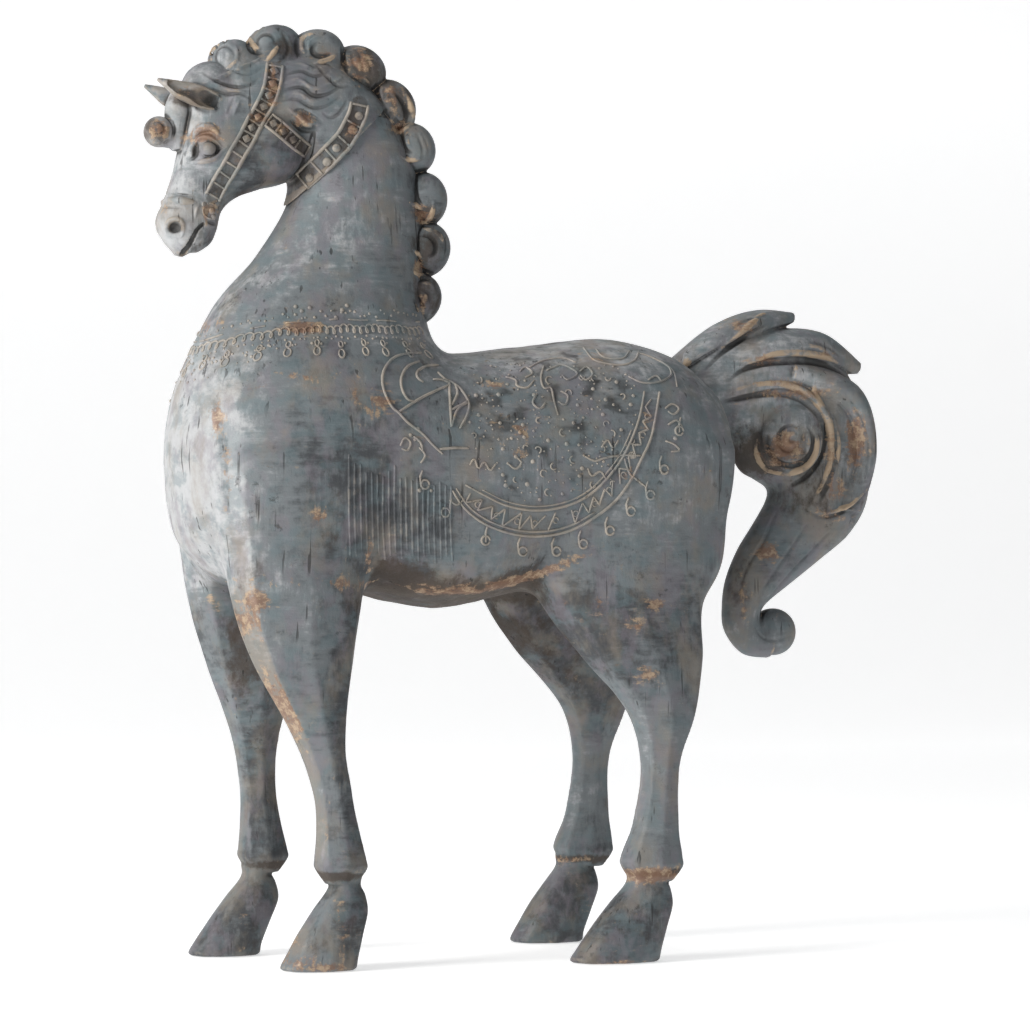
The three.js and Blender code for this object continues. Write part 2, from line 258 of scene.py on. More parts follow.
class Field:
    """Signed distances on a box of voxels, in millimetres: negative inside the wood. drawn is the plane that
    the lines on its sides are drawn on, or 0 where they are drawn square to it."""

    def __init__(self, low, high, voxel):
        self.voxel = voxel
        self.first = np.floor(np.asarray(low) / voxel).astype(int)
        shape = np.ceil(np.asarray(high) / voxel).astype(int) - self.first + 1
        self.values = np.full(tuple(shape), REACH, np.float32)
        self.drawn = 0.0

    def block(self, low, high):
        """The slices of the voxels between two corners, and the first voxel's index."""
        a = np.clip(np.floor(np.asarray(low) / self.voxel).astype(int) - self.first, 0, self.values.shape)
        b = np.clip(np.ceil(np.asarray(high) / self.voxel).astype(int) + 1 - self.first, 0, self.values.shape)
        return tuple(slice(int(p), int(max(p, q))) for p, q in zip(a, b)), a + self.first

    def coordinates(self, slices):
        """The x, y and z of a block's voxels, shaped to broadcast."""
        axes = [(np.arange(s.start, s.stop) + f) * self.voxel for s, f in zip(slices, self.first)]
        return np.ix_(*[a.astype(np.float32) for a in axes])

    def distance(self, shape, reach):
        """The distances from a closed mesh, near it: (slices, values)."""
        points, triangles = shape
        grid = openvdb.FloatGrid.createLevelSetFromPolygons(
            points.astype(np.float32),
            triangles=triangles.astype(np.uint32),
            transform=openvdb.createLinearTransform(voxelSize=self.voxel),
            halfWidth=reach / self.voxel,
        )
        slices, start = self.block(points.min(0) - reach, points.max(0) + reach)
        values = np.empty([s.stop - s.start for s in slices], np.float32)
        grid.copyToArray(values, ijk=tuple(int(v) for v in start))
        return slices, values

    def add(self, shape, fillet=0.0, reach=None):
        """Joins a closed mesh on, with a fillet of about that size."""
        slices, values = self.distance(shape, reach or max(8.0, fillet * 1.3))
        self.values[slices] = smooth_min(self.values[slices], values, fillet)

    def cut(self, shape, fillet):
        """Cuts a closed mesh away."""
        slices, values = self.distance(shape, max(6.0, fillet * 1.3))
        self.values[slices] = -smooth_min(-self.values[slices], values, fillet)

    def shave(self, point, normal, edge, low, high):
        """Planes off what lies outside a plane, inside a box, with a rounded edge."""
        slices, _ = self.block(low, high)
        normal = np.asarray(normal, float) / np.linalg.norm(normal)
        x, y, z = self.coordinates(slices)
        plane = (x - point[0]) * normal[0] + (y - point[1]) * normal[1] + (z - point[2]) * normal[2]
        self.values[slices] = -smooth_min(-self.values[slices], -plane.astype(np.float32), edge)

    def strokes(self, lines, fillet):
        """The field of tapered strokes, each (points, radii), for carve and raise_lines."""
        made = np.full(self.values.shape, REACH, np.float32)
        for points, radii in lines:
            points = np.asarray(points, float)
            radii = np.broadcast_to(radii, len(points))
            for p, q, r, s in zip(points[:-1], points[1:], radii[:-1], radii[1:]):
                pad = max(r, s) + 2.5 * fillet + 2 * self.voxel
                slices, _ = self.block(np.minimum(p, q) - pad, np.maximum(p, q) + pad)
                x, y, z = self.coordinates(slices)
                d = q - p
                length = max(float(d @ d), 1e-9)
                x, y, z = x - p[0], y - p[1], z - p[2]
                t = np.clip((x * d[0] + y * d[1] + z * d[2]) / length, 0, 1)
                off = np.sqrt((x - t * d[0]) ** 2 + (y - t * d[1]) ** 2 + (z - t * d[2]) ** 2)
                made[slices] = np.minimum(made[slices], off - (r + t * (s - r)))
        return made

    def carve(self, lines, fillet):
        """Cuts strokes into the wood."""
        self.values = -smooth_min(-self.values, self.strokes(lines, fillet), fillet)

    def raise_lines(self, lines, fillet):
        """Lays strokes on the wood."""
        self.values = smooth_min(self.values, self.strokes(lines, fillet), fillet)

    def sample(self, points):
        """The distances at points, by trilinear interpolation."""
        at = np.asarray(points) / self.voxel - self.first
        at = np.clip(at, 0, np.array(self.values.shape) - 1.001)
        i = at.astype(int)
        return trilinear(at - i, lambda *step: self.values[tuple((i + step).T)])

    def on_side(self, points, side, sink=0.0):
        """The points of a line in XZ laid on one side, as deep as sink: (places, whether each was found)."""
        points = np.asarray(points, float)
        # Where the sight line through each point meets each layer of voxels, from the outside in.
        steps = np.arange(self.values.shape[1] - 1, -1, -1) if side > 0 else np.arange(self.values.shape[1])
        y = (steps + self.first[1]) * self.voxel
        shift = (self.drawn - side * y) / (EYE[1] - self.drawn) * (self.drawn > 0)
        seen = points[:, None, :] + (points - np.array([EYE[0], EYE[2]]))[:, None, :] * shift[None, :, None]
        ys = np.broadcast_to(y, seen.shape[:2])
        layers = np.stack([seen[..., 0], ys, seen[..., 1]], -1).reshape(-1, 3)
        values = self.sample(layers).reshape(len(points), -1)
        # The first layer inside, and the place between it and the layer before where the surface is crossed.
        inside = values < sink
        hit = inside.argmax(1)
        row = np.arange(len(points))
        before = np.maximum(hit - 1, 0)
        a, b = values[row, before] - sink, values[row, hit] - sink
        t = np.where(hit > 0, a / np.maximum(a - b, 1e-6), 0)[:, None]
        start = np.stack([seen[row, before, 0], y[before], seen[row, before, 1]], 1)
        end = np.stack([seen[row, hit, 0], y[hit], seen[row, hit, 1]], 1)
        return start + t * (end - start), inside.any(1)

    def mesh(self):
        """The surface as (points, quads), in millimetres."""
        grid = openvdb.FloatGrid(background=REACH)
        grid.copyFromArray(self.values, ijk=tuple(int(v) for v in self.first), tolerance=0.0)
        grid.transform = openvdb.createLinearTransform(voxelSize=self.voxel)
        points, quads = grid.convertToQuads(0.0)
        points, quads = points.astype(float), quads.astype(int)
        a, b, c = (points[quads[:, k]] for k in (0, 1, 2))
        if np.einsum("ij,ij->", a, np.cross(b, c)) < 0:
            quads = quads[:, ::-1]
        return points, quads


def wobble(points, size, seed, stretch=(1, 1, 1)):
    """Smooth noise from -1 to 1, whose bumps are about size across."""
    at = np.asarray(points) / (size * np.asarray(stretch, float)) + 500.0
    lattice = np.random.default_rng(seed).uniform(-1, 1, (64, 64, 64))
    i = np.floor(at).astype(int)
    f = at - i
    return trilinear(f * f * (3 - 2 * f), lambda *step: lattice[tuple((i + step).T % 64)])


# ------------------------------------------------------------------ carved lines


def arc(centre, radius, start, stop, count=14, grow=0.0):
    """Points of an arc in XZ, in degrees from +X towards +Z, whose radius changes by grow."""
    angle = np.radians(np.linspace(start, stop, count))
    size = radius + grow * np.linspace(0, 1, count)
    return np.stack([centre[0] + size * np.cos(angle), centre[1] + size * np.sin(angle)], 1)


def taper(count, low, high, power_of=0.8):
    """Radii that swell from low to high and back over a stroke."""
    return low + (high - low) * np.sin(np.linspace(0, math.pi, count)) ** power_of


def side_strokes(field, lines, sink=0.0):
    """Strokes (XZ points, low radius, high radius) laid on both sides of a field."""
    made = []
    for points, low, high in lines:
        points = even(points, 2.5)
        for side in (-1, 1):
            laid, found = field.on_side(points, side, sink)
            if found.sum() > 2:
                made.append((laid[found], taper(int(found.sum()), low, high)))
    return made


# ------------------------------------------------------------------ body, legs and hooves

# The trunk's ribs, from the breast to the rump: x, back, belly, half width, and squareness above and below.
TRUNK = [
    rib(x, back, x, belly, width, square=square, rear=under)
    for x, back, belly, width, square, under in [
        (-230, 386, 270, 47.5, 2.1, 2.1),
        (-205, 408, 250, 68, 2.2, 2.3),
        (-170, 418, 246, 79, 2.3, 2.6),
        (-120, 416, 246, 84, 2.3, 3.4),
        (-60, 405.5, 233, 85, 2.3, 3.7),
        (0, 411, 246, 84, 2.3, 3.4),
        (60, 418, 250, 85, 2.2, 2.7),
        (105, 408, 262, 80, 2.2, 2.3),
        (135, 389, 284, 58, 2.0, 2.0),
    ]
]

# The neck's ribs run from its front to its crest, up from the trunk to the crown of the head.
NECK = [
    rib(-240, 330, -50, 350, 74),
    rib(-233, 385, -55, 390, 69, square=2.1, rear=2.2),
    rib(-212.5, 432, -67, 426, 54, square=2.1, rear=2.2),
    rib(-182, 468, -68, 466, 43, square=2.1, rear=2.1),
    rib(-162.5, 501, -69, 504, 36, square=2.1, rear=2.1),
    rib(-159.5, 522, -81, 546, 31, square=2.1, rear=2.4),
    rib(-166, 536, -111, 581, 28, square=2.1, rear=3.0),
    rib(-182, 545, -150, 601, 26, square=2.1, rear=2.8),
    rib(-209, 548, -198, 596, 22, square=2.1, rear=2.5),
]

# The legs' ribs: height, front, back, half width, how far out the rib stands, from the body's own track (0)
# to the foot's (1), squareness and facets. The body's tracks are where the legs grow out of it.
FORELEG = [
    (330, -222, -114, 36, 0, 2.2, 0),
    (250, -216.5, -126, 32, 0.4, 2.4, 0.5),
    (200, -202, -135, 25, 0.65, 2.6, 0.9),
    (150, -179, -146, 18, 0.92, 2.6, 1),
    (115, -169, -145, 14, 1, 2.5, 1),
    (88, -168, -140, 15, 1, 2.5, 1),
    (71, -169, -136, 18, 1, 2.5, 1),
    (65, -169, -135.5, 18.5, 1, 2.5, 1),
    (55, -162, -142, 12, 1, 2.4, 0.8),
]
HIND_LEG = [
    (340, 10, 138.5, 42, 0, 2.2, 0),
    (270, -11.5, 132, 41, 0.2, 2.4, 0.2),
    (235, 1, 114, 33, 0.43, 2.5, 0.7),
    (200, 28, 111.5, 26, 0.67, 2.6, 0.9),
    (165, 58.5, 105.5, 19, 0.87, 2.6, 1),
    (130, 68, 93, 14, 1, 2.5, 1),
    (92, 63, 92, 15, 1, 2.5, 1),
    (69, 54, 95, 18, 1, 2.5, 1),
    (62.5, 54, 95, 18.5, 1, 2.5, 1),
    (52.5, 60, 88, 13, 1, 2.4, 0.8),
]
FORE_BODY_TRACK = 40
HIND_BODY_TRACK = 36

# Each hoof's toe and heel on the floor, and the front and back of the pastern that it grows from.
HOOVES = [
    dict(toe=-185.5, heel=-134.5, front=-156, back=-128, y=-FORE_TRACK),
    dict(toe=-211.5, heel=-162, front=-177.5, back=-150, y=FORE_TRACK),
    dict(toe=9.5, heel=72, front=46.5, back=80.5, y=-HIND_TRACK),
    dict(toe=27, heel=80, front=58, back=90.5, y=HIND_TRACK),
]

# The edge where the flank turns under the belly, as (x, z), and the height of the belly's middle.
FLANK_EDGE = [
    (-150, 252), (-120, 249), (-80, 245), (-50, 247), (-22, 253), (5, 263), (35, 276), (70, 296),
]
BELLY_MIDDLE = [(-150, 245), (-120, 242), (-60, 233), (0, 240), (60, 250), (90, 262)]
FLANK_HALF_WIDTH = 74.0

# The breast turns into the shoulder over a soft upright ridge, which is mostly sunk in the wood.
BREAST_RIDGE = [
    (-226, 384), (-225.5, 365), (-224, 340), (-221.5, 310), (-217, 280), (-212, 255), (-208, 238),
]
BREAST_RIDGE_SINK = -3.2


def leg(rows, side, track, stride, body_track):
    """A leg on one side: its feet stand on the track, and the stride swings it forwards or back."""
    swing, top, full = stride
    ribs = []
    for z, front, back, width, out, square, facet in rows:
        shift = -side * swing * smoothstep(-z, -top, -full)
        y = side * (body_track + (track - body_track) * out)
        ribs.append(rib(front + shift, z, back + shift, z, width, y=y, square=square, facet=facet))
    return loft(ribs, 120, 96)


def hoof(toe, heel, front, back, y):
    """A hoof from inside the cuff to the floor: front and back are the pastern's, toe and heel the sole's."""
    levels = [
        (front + 3, back - 3, 60, 12),
        (front + 4, back - 4, 54, 12),
        (front + 1, back - 1, 48, 15),
        (front + 0.26 * (toe - front), back + 1, 37, 18),
        (front + 0.60 * (toe - front), (back + heel) / 2 + 1, 22, 20),
        (front + 0.88 * (toe - front), heel + 1, 8, 21),
        (toe + 0.5, heel, 2, 20.5),
        (toe + 1.5, heel - 1, 0, 19.5),
    ]
    facets = (0, 0.2, 0.5, 0.8, 0.8, 0.6, 0.5, 0.5)
    ribs = [rib(a, z, b, z, w, y=y, square=2.3, facet=f) for (a, b, z, w), f in zip(levels, facets)]
    return loft(ribs, 60, 72)


def turn_under(field):
    """Planes the belly flat from the flank's edge to its middle, so that the edge stands crisp."""
    slices, _ = field.block((-160, -100, 220), (74, 100, 320))
    x, y, z = field.coordinates(slices)
    edge = np.interp(x, *zip(*FLANK_EDGE))
    middle = np.interp(x, *zip(*BELLY_MIDDLE))
    under = middle + (edge - middle) * (np.abs(y) / FLANK_HALF_WIDTH) ** 1.4
    plane = ((under - z) * 0.96).astype(np.float32)
    fade = smoothstep(x, -158, -140) * smoothstep(-x, -72, -50)
    planed = -smooth_min(-field.values[slices], -plane, 2.5)
    field.values[slices] += (fade * (planed - field.values[slices])).astype(np.float32)


def neck_mesh(inflate=0.0):
    """The neck, from inside the trunk to inside the skull."""
    return loft(NECK, 110, 96, end=8, inflate=inflate)


def sculpt_body():
    """The trunk and neck, planed under the belly, with the legs and hooves."""
    field = Field((-266, -112, -8), (160, 112, 560), BODY_VOXEL)
    field.add(loft(TRUNK, 110, 120, start=13, end=14, crisp=0.35), reach=REACH)
    turn_under(field)
    field.add(neck_mesh(), 11, reach=REACH)
    for side in (-1, 1):
        field.add(leg(FORELEG, side, FORE_TRACK, FORE_STRIDE, FORE_BODY_TRACK), 14, reach=REACH)
        field.add(leg(HIND_LEG, side, HIND_TRACK, HIND_STRIDE, HIND_BODY_TRACK), 12, reach=REACH)
    for feet in HOOVES:
        field.add(hoof(**feet), 0.6)
    field.raise_lines(side_strokes(field, [(BREAST_RIDGE, 1.5, 4.5)], BREAST_RIDGE_SINK), 6.0)
    return field


# ------------------------------------------------------------------ the neck's cap

# The neck above the throat strap stands a little proud of the neck below. A plane along the strap ends it.
CAP_RISE = 1.8
CAP_EDGE = (-141.5, 0, 524.5)
CAP_NORMAL = (0.72, 0, -0.69)
CAP_BOX = (-300, -60, 400), (0, 60, 700)


def add_cap(field, rise, reach=None):
    """Joins the neck's cap to an empty field."""
    field.add(neck_mesh(rise), reach=reach)
    field.shave(CAP_EDGE, CAP_NORMAL, 0.5, *CAP_BOX)


# ------------------------------------------------------------------ head, ears and forelock

# The head's ribs run from the forehead to the throat, and down to the lips.
HEAD = [
    rib(-209, 587, -144, 546, 20),
    rib(-228, 569, -156, 521, 25, egg=0.1, square=2.5),
    rib(-235, 543, -180, 512, 25, egg=0.12, square=2.8),
    rib(-240, 521, -198.5, 505, 19, egg=0.05, square=2.9),
    rib(-246, 503, -209, 495.5, 17, square=2.8),
    rib(-252, 488, -212.5, 482, 17, square=2.5),
    rib(-248, 476, -217, 473, 14),
    rib(-241, 468, -226, 467, 9),
]

# The forelock comes down between the ears: its front, height, back and half width.
FORELOCK = [
    (-240, 578, -225, 8),
    (-246, 565, -228, 8.5),
    (-246.5, 553, -230, 8),
    (-245, 542, -232, 7),
    (-242, 535, -234, 6),
]

# An ear and its hollow, from the root to the tip: the ends of each rib, its half width, and how far it is
# from the middle plane.
EAR = [
    (-219, 560, -216, 571.5, 6.5, 17.5),
    (-227, 561.2, -224, 575, 7, 18),
    (-236, 563.8, -232.5, 577.5, 6.5, 17.5),
    (-244, 567.5, -241.5, 578.5, 5.5, 17),
    (-250.5, 573, -248.5, 579.3, 4, 16.5),
    (-256.5, 577.8, -256, 579.9, 2, 16),
]
EAR_HOLLOW = [
    (-216, 560.5, -214.5, 569, 5.5, 22.5),
    (-228, 562, -225.5, 574, 6.5, 22.5),
    (-236.5, 567, -234, 576.5, 5.5, 22),
    (-244, 570, -242, 577.7, 4.5, 20.8),
    (-250.5, 575.3, -249.6, 578.6, 2.5, 19.3),
]

# Raised lines of the face, as (line, least radius, greatest radius).
FACE_RIDGES = [
    # the brow, the upper lid and the cheekbone under the eye
    ([(-233, 540), (-230, 545), (-226, 548), (-220, 548.5), (-215.5, 545)], 1.0, 3.0),
    ([(-231.5, 536), (-229.2, 540.5), (-225.5, 542.3), (-221, 542), (-216.5, 539), (-213.5, 536)], 0.6, 1.5),
    ([(-234, 525.3), (-229, 525.5), (-224.5, 526.5), (-219.3, 528), (-215.5, 530.3), (-212.5, 533.8),
      (-209, 536.5)], 0.6, 1.8),
    # the rim of the nostril, a fold before the bit, and the nose band
    ([(-250.5, 478), (-250.8, 483), (-247.5, 487), (-242, 487.5), (-239.3, 484), (-239.2, 479),
      (-241, 475.5)], 0.5, 1.5),
    ([(-228.5, 497.5), (-230.3, 494), (-230.8, 490)], 0.5, 1.2),
    ([(-253, 500.5), (-245, 500), (-238, 499.5), (-231, 499)], 0.8, 2.4),
]

# Lines cut in the face, in the same way.
FACE_CREASES = [
    # the front of the eye, and the edge of the forelock beside it
    ([(-229, 538), (-230.6, 534.5), (-230.8, 531), (-232, 528.6), (-235, 527.2)], 0.7, 2.0),
    ([(-237, 545), (-236, 538), (-238, 531)], 0.3, 1.0),
    # the edges of the nose band, and the chin
    ([(-250, 505.5), (-243, 504), (-236.5, 503.5), (-230, 503)], 0.4, 0.9),
    ([(-254, 495), (-245, 495.3), (-239.5, 495)], 0.4, 0.9),
    ([(-223, 487), (-219, 485.5), (-214.5, 484.5)], 0.5, 1.2),
    # the curl of the forelock's knob
    ([(-246.6, 552), (-245.3, 546), (-247, 539)], 0.4, 0.9),
    ([(-258, 551), (-254, 550.5), (-251.5, 547), (-253.5, 543), (-258, 542.5), (-260, 546)], 0.6, 1.2),
]
MOUTH = [(-241, 461), (-239.3, 465.5), (-235.3, 471), (-232.4, 476.5), (-229.7, 481.5), (-226, 485)]
JOWL = [(-152, 552), (-153.5, 542), (-157, 531), (-164, 520.5), (-175, 510)]

# Wavy locks between the mane, the cheek strap and the throat strap, as (line, greatest radius).
HAIR_GROOVES = [
    ([(-228, 583), (-216, 577), (-205, 575), (-196, 577), (-190, 581)], 1.1),
    ([(-222, 573), (-212, 570), (-203, 571), (-196, 568)], 0.9),
    ([(-214, 590), (-205, 585), (-196, 584), (-188, 588)], 0.9),
    ([(-171, 585), (-161, 588), (-151, 585), (-141, 589)], 1.2),
    ([(-172, 575), (-161, 577), (-152, 572), (-142, 574), (-133, 580)], 1.4),
    ([(-174, 568), (-164, 569), (-153, 564), (-143, 566), (-134, 572)], 1.1),
    ([(-150, 592), (-143, 585), (-135, 579), (-127, 580)], 1.1),
    ([(-166, 561), (-161.8, 562), (-155.7, 559.2), (-147, 555.5)], 1.4),
    ([(-168, 555), (-165.3, 552.7), (-158.4, 548.5), (-149, 549.7)], 1.7),
    ([(-146, 561), (-140, 558), (-134, 562), (-129, 570)], 1.0),
    ([(-207.5, 567), (-211, 558)], 0.8),
]
HAIR_RIDGES = [
    ([(-183, 600), (-192, 593), (-204, 587), (-216, 581), (-226, 577)], 1.6),
    ([(-171, 590), (-161, 592.5), (-151, 589.5), (-141, 593)], 1.2),
    ([(-172, 580), (-162, 582), (-153, 577), (-143, 579), (-133, 585)], 1.4),
    ([(-173, 571.5), (-163, 573), (-153, 568), (-143, 570)], 1.1),
    ([(-169, 562), (-162.5, 557.7), (-158.4, 554), (-154.3, 552.8), (-147, 553.2)], 2.2),
    ([(-221, 577), (-211, 573.5), (-200, 572)], 1.0),
    ([(-203.5, 565.5), (-207.5, 557)], 1.3),
]


def ear(rows, side):
    """An ear, or its hollow, on one side."""
    return loft([rib(a, b, c, d, w, y=side * y) for a, b, c, d, w, y in rows], 30, 28)


def head_forms(field):
    """The cap of the neck, the skull, the cheeks, the crown, and the forelock with its round knob."""
    add_cap(field, CAP_RISE)
    field.add(loft(HEAD, 90, 80, start=8, end=3), 3.0)
    field.add(ball((-178, 0, 539), (24.5, 29, 25), square=3.0, around=64, rings=40), 2.5)
    field.add(ball((-215.5, 0, 575), (20, 21, 20)), 6.0)
    field.add(loft([rib(front, z, back, z, width) for front, z, back, width in FORELOCK], 40, 36), 1.5)
    field.add(loft([rib(-252, 550, -252, 537, 7), rib(-232, 550, -232, 535, 6.5)], 12, 28), 1.0)
    field.add(ball((-250.8, 0, 546.6), (9.9, 10.5, 10.2)), 0.6)


def head_side(field, side):
    """One hollowed ear, the eye in its socket, and the nostril."""
    field.add(ear(EAR, side), 1.6)
    field.cut(ear(EAR_HOLLOW, side), 0.5)
    field.cut(ball((-223, side * 27, 533.5), (11, 6.2, 8), tilt=0.3), 2.5)
    field.add(ball((-222.6, side * 20.2, 534), (5.0, 5.6, 4.9), tilt=0.2), 0.2)
    field.cut(ball((-244.0, side * 16.5, 482.3), (5.2, 7.5, 4.2), tilt=0.65), 0.5)


def face_lines(field):
    """The lines of the face, and the open mouth, widest at the lips."""
    field.drawn = FACE_PLANE
    field.raise_lines(side_strokes(field, FACE_RIDGES), 0.9)
    field.carve(side_strokes(field, FACE_CREASES, 0.1), 0.6)
    for side in (-1, 1):
        laid, found = field.on_side(even(MOUTH, 1.2), side, -0.8)
        field.carve([(laid[found], np.linspace(1.9, 1.1, found.sum()))], 0.4)


def head_hair(field):
    """The combed locks, and the groove behind the jowl."""
    field.drawn = HAIR_PLANE
    field.raise_lines(side_strokes(field, [(line, 0.4, size) for line, size in HAIR_RIDGES]), 1.2)
    grooves = [(JOWL, 1.0, 2.4), *[(line, 0.5, size) for line, size in HAIR_GROOVES]]
    field.carve(side_strokes(field, grooves, 0.1), 1.0)


def sculpt_head():
    """The head with its ears, eyes, nostrils, mouth and hair."""
    field = Field((-268, -40, 448), (-64, 40, 618), HEAD_VOXEL)
    head_forms(field)
    for side in (-1, 1):
        head_side(field, side)
    # The chin, and the hollow under the lips.
    field.add(ball((-221.5, 0, 480.5), (7.5, 10, 8)), 2.0)
    field.cut(ball((-228, 0, 459.5), (7.5, 30, 8.5)), 1.5)
    face_lines(field)
    head_hair(field)
    return field


# ------------------------------------------------------------------ mane

MANE_BOX = (-232, -36, 418), (-42, 36, 628)

# Each lobe of the mane: its middle, its tilt in degrees, half its length and height, and its half width.
LOBES = [
    (-201, 596, 40, 15, 13.5, 15),
    (-171.5, 606.3, 4, 17.5, 15, 18),
    (-142.3, 604.6, -10, 17.5, 15, 21),
    (-113.5, 594.5, -33, 18.5, 14.5, 23),
    (-91.5, 570.5, -57, 19, 15, 24),
    (-77.3, 542, -72, 18, 15, 27),
    (-70, 508, -84, 19, 15.5, 30),
    (-69, 474.5, -95, 19, 16.5, 32),
    (-75, 441, -99, 18, 16, 33),
]

# How deep the neck lies under the mane's roots, and how far the roots reach into it.
MANE_SINK = 0.5
ROOT_DEPTH = 7.0
ROOT_REACH = 16

# The curls raised and cut in their sides, from the crown down, as (line, least radius, greatest radius).
CURL_RIDGES = [
    ([(-219, 587), (-222, 591), (-221, 597), (-216, 602.5), (-209, 606.5), (-202, 607.5)], 0.8, 1.9),
    ([(-206, 602), (-204.7, 597), (-206, 592), (-210, 588), (-215, 584.5)], 0.5, 1.3),
    ([(-187, 615), (-192.5, 613), (-195.5, 609), (-195, 604.5), (-192.5, 601.5), (-189.5, 602)], 1.0, 2.2),
    ([(-176.5, 604), (-179.5, 600), (-182, 596.5), (-185, 593)], 0.6, 1.7),
    ([(-152, 613), (-157.5, 611.5), (-160.5, 608.5), (-160.7, 603.5), (-159, 600.5)], 1.0, 2.0),
    ([(-147, 611), (-153, 609.5), (-156.2, 606), (-155.5, 602.5)], 0.5, 1.2),
    ([(-152, 593.5), (-146, 595.5), (-141, 597), (-137, 600)], 0.6, 1.6),
    ([(-129.5, 605), (-129.5, 599), (-129, 593)], 0.6, 1.3),
    ([(-118, 586), (-114.5, 583), (-113, 579)], 0.5, 1.2),
    ([(-104, 583), (-105, 577), (-103.5, 570)], 0.6, 1.4),
    ([(-89, 577), (-85, 570), (-83.3, 563), (-84.5, 556.5), (-89, 552.5), (-95.5, 549.5)], 1.0, 2.2),
    ([(-99, 561), (-98, 556), (-94.5, 553.5)], 0.5, 1.2),
    ([(-87, 551), (-87, 545), (-85, 541)], 0.6, 1.3),
    ([(-93, 535), (-88, 532.7), (-82, 532.5), (-76, 534.5)], 0.7, 1.6),
    ([(-86, 504), (-80.5, 502), (-76, 500)], 0.7, 1.7),
    ([(-68, 505), (-69.5, 497), (-73.5, 491.5), (-80, 490.5)], 0.8, 1.8),
    ([(-76, 486.5), (-70, 485.5), (-64.5, 483), (-61.5, 478)], 0.9, 2.0),
    ([(-84, 473), (-79.5, 470), (-76, 465.5)], 0.6, 1.6),
    ([(-83, 464), (-83, 458.5), (-79, 456), (-73, 456.5)], 0.7, 1.8),
    ([(-76, 450.5), (-71, 450), (-67.5, 446.5)], 0.7, 1.6),
    ([(-85, 438), (-81.5, 434.5), (-78.8, 430.5)], 0.8, 2.1),
    ([(-86, 484), (-86.3, 470), (-86.5, 450), (-87, 428)], 0.5, 0.9),
]
CURL_GROOVES = [
    ([(-213, 587), (-218, 589), (-220, 593), (-219, 598), (-214.5, 601.5), (-209.5, 600.5),
      (-207, 596)], 0.5, 1.3),
    ([(-197.5, 607), (-197.5, 602), (-194.5, 598.5), (-188, 598)], 0.6, 1.5),
    ([(-189, 600.5), (-191.8, 604), (-190.5, 608.5), (-186, 611), (-180.5, 609.5),
      (-178.8, 605)], 0.5, 1.4),
    ([(-174, 612), (-170, 605), (-171, 598), (-177, 592)], 0.4, 1.1),
    ([(-164, 610), (-164.3, 603), (-162.5, 597)], 0.7, 1.6),
    ([(-149, 607.5), (-153, 604.5), (-152.5, 600), (-147, 598.3), (-141, 600)], 0.7, 1.6),
    ([(-149, 591), (-143.5, 592), (-138, 590)], 0.7, 1.7),
    ([(-133, 607), (-132.3, 600), (-131.3, 595), (-129, 589)], 0.8, 1.7),
    ([(-126, 604), (-125.5, 597), (-122, 590)], 0.4, 0.9),
    ([(-121, 603), (-119, 596), (-117, 589)], 0.4, 0.9),
    ([(-115.5, 600), (-113, 594), (-112, 588)], 0.4, 0.9),
    ([(-127, 587.5), (-120.5, 582.5), (-113, 578)], 0.6, 1.4),
    ([(-108.5, 582), (-108.8, 575), (-107, 569), (-104, 564.5)], 0.8, 1.7),
    ([(-95.5, 577), (-89.5, 569.5), (-87.3, 562.5), (-89, 557), (-93.5, 556.5), (-95, 560)], 0.8, 2.0),
    ([(-100, 576), (-95, 569), (-93.5, 563)], 0.3, 0.8),
    ([(-91, 551), (-90.8, 544), (-88, 538.5), (-83.5, 537)], 0.8, 1.9),
    ([(-80, 550), (-76, 541), (-76.5, 533)], 0.4, 0.9),
    ([(-76, 550), (-72, 541), (-71.5, 532)], 0.3, 0.7),
    ([(-81, 522), (-81.8, 514), (-80.5, 507), (-77, 503)], 0.9, 2.1),
    ([(-83, 498), (-78, 496), (-73.5, 497.5)], 0.6, 1.5),
    ([(-85, 487), (-77, 488), (-69, 488.5)], 0.7, 1.5),
    ([(-77, 482.5), (-70.5, 481.5), (-66.5, 476), (-68, 470), (-72, 468)], 0.8, 1.9),
    ([(-80.5, 487), (-80.5, 478), (-79.5, 472)], 0.8, 1.7),
    ([(-80, 463.5), (-77.5, 459.5), (-73.5, 459)], 0.7, 1.5),
    ([(-85, 452), (-77, 453), (-70, 453.5)], 0.7, 1.5),
    ([(-81, 449.5), (-81, 442), (-78, 437), (-74.5, 433.5)], 0.9, 2.1),
    ([(-76, 446), (-71.5, 443.5), (-70, 437)], 0.6, 1.3),
    ([(-89.5, 486), (-90, 470), (-90, 450), (-90, 430)], 0.5, 1.1),
]


def turned(points, tilt, centre):
    """XZ points turned by tilt and moved to centre."""
    points = np.asarray(points, float)
    c, s = math.cos(tilt), math.sin(tilt)
    x, z = points[:, 0], points[:, 1]
    return np.stack([centre[0] + x * c - z * s, centre[1] + x * s + z * c], 1)


def root_lobes(field):
    """Grows the lobes out of the neck, in a wide fillet on the head and in a crease down the neck."""
    hair = Field(*MANE_BOX, MANE_VOXEL)
    add_cap(hair, CAP_RISE - MANE_SINK, ROOT_REACH)
    neck = Field(*MANE_BOX, MANE_VOXEL)
    neck.add(neck_mesh(-MANE_SINK), reach=ROOT_REACH)
    x, _, _ = field.coordinates(tuple(slice(0, n) for n in field.values.shape))
    upper = smoothstep(-x, 100, 125).astype(np.float32)
    blended = smooth_min(field.values, np.minimum(hair.values, neck.values), 1.0 + 9.0 * upper)
    field.values = np.maximum(blended, field.values - ROOT_DEPTH)


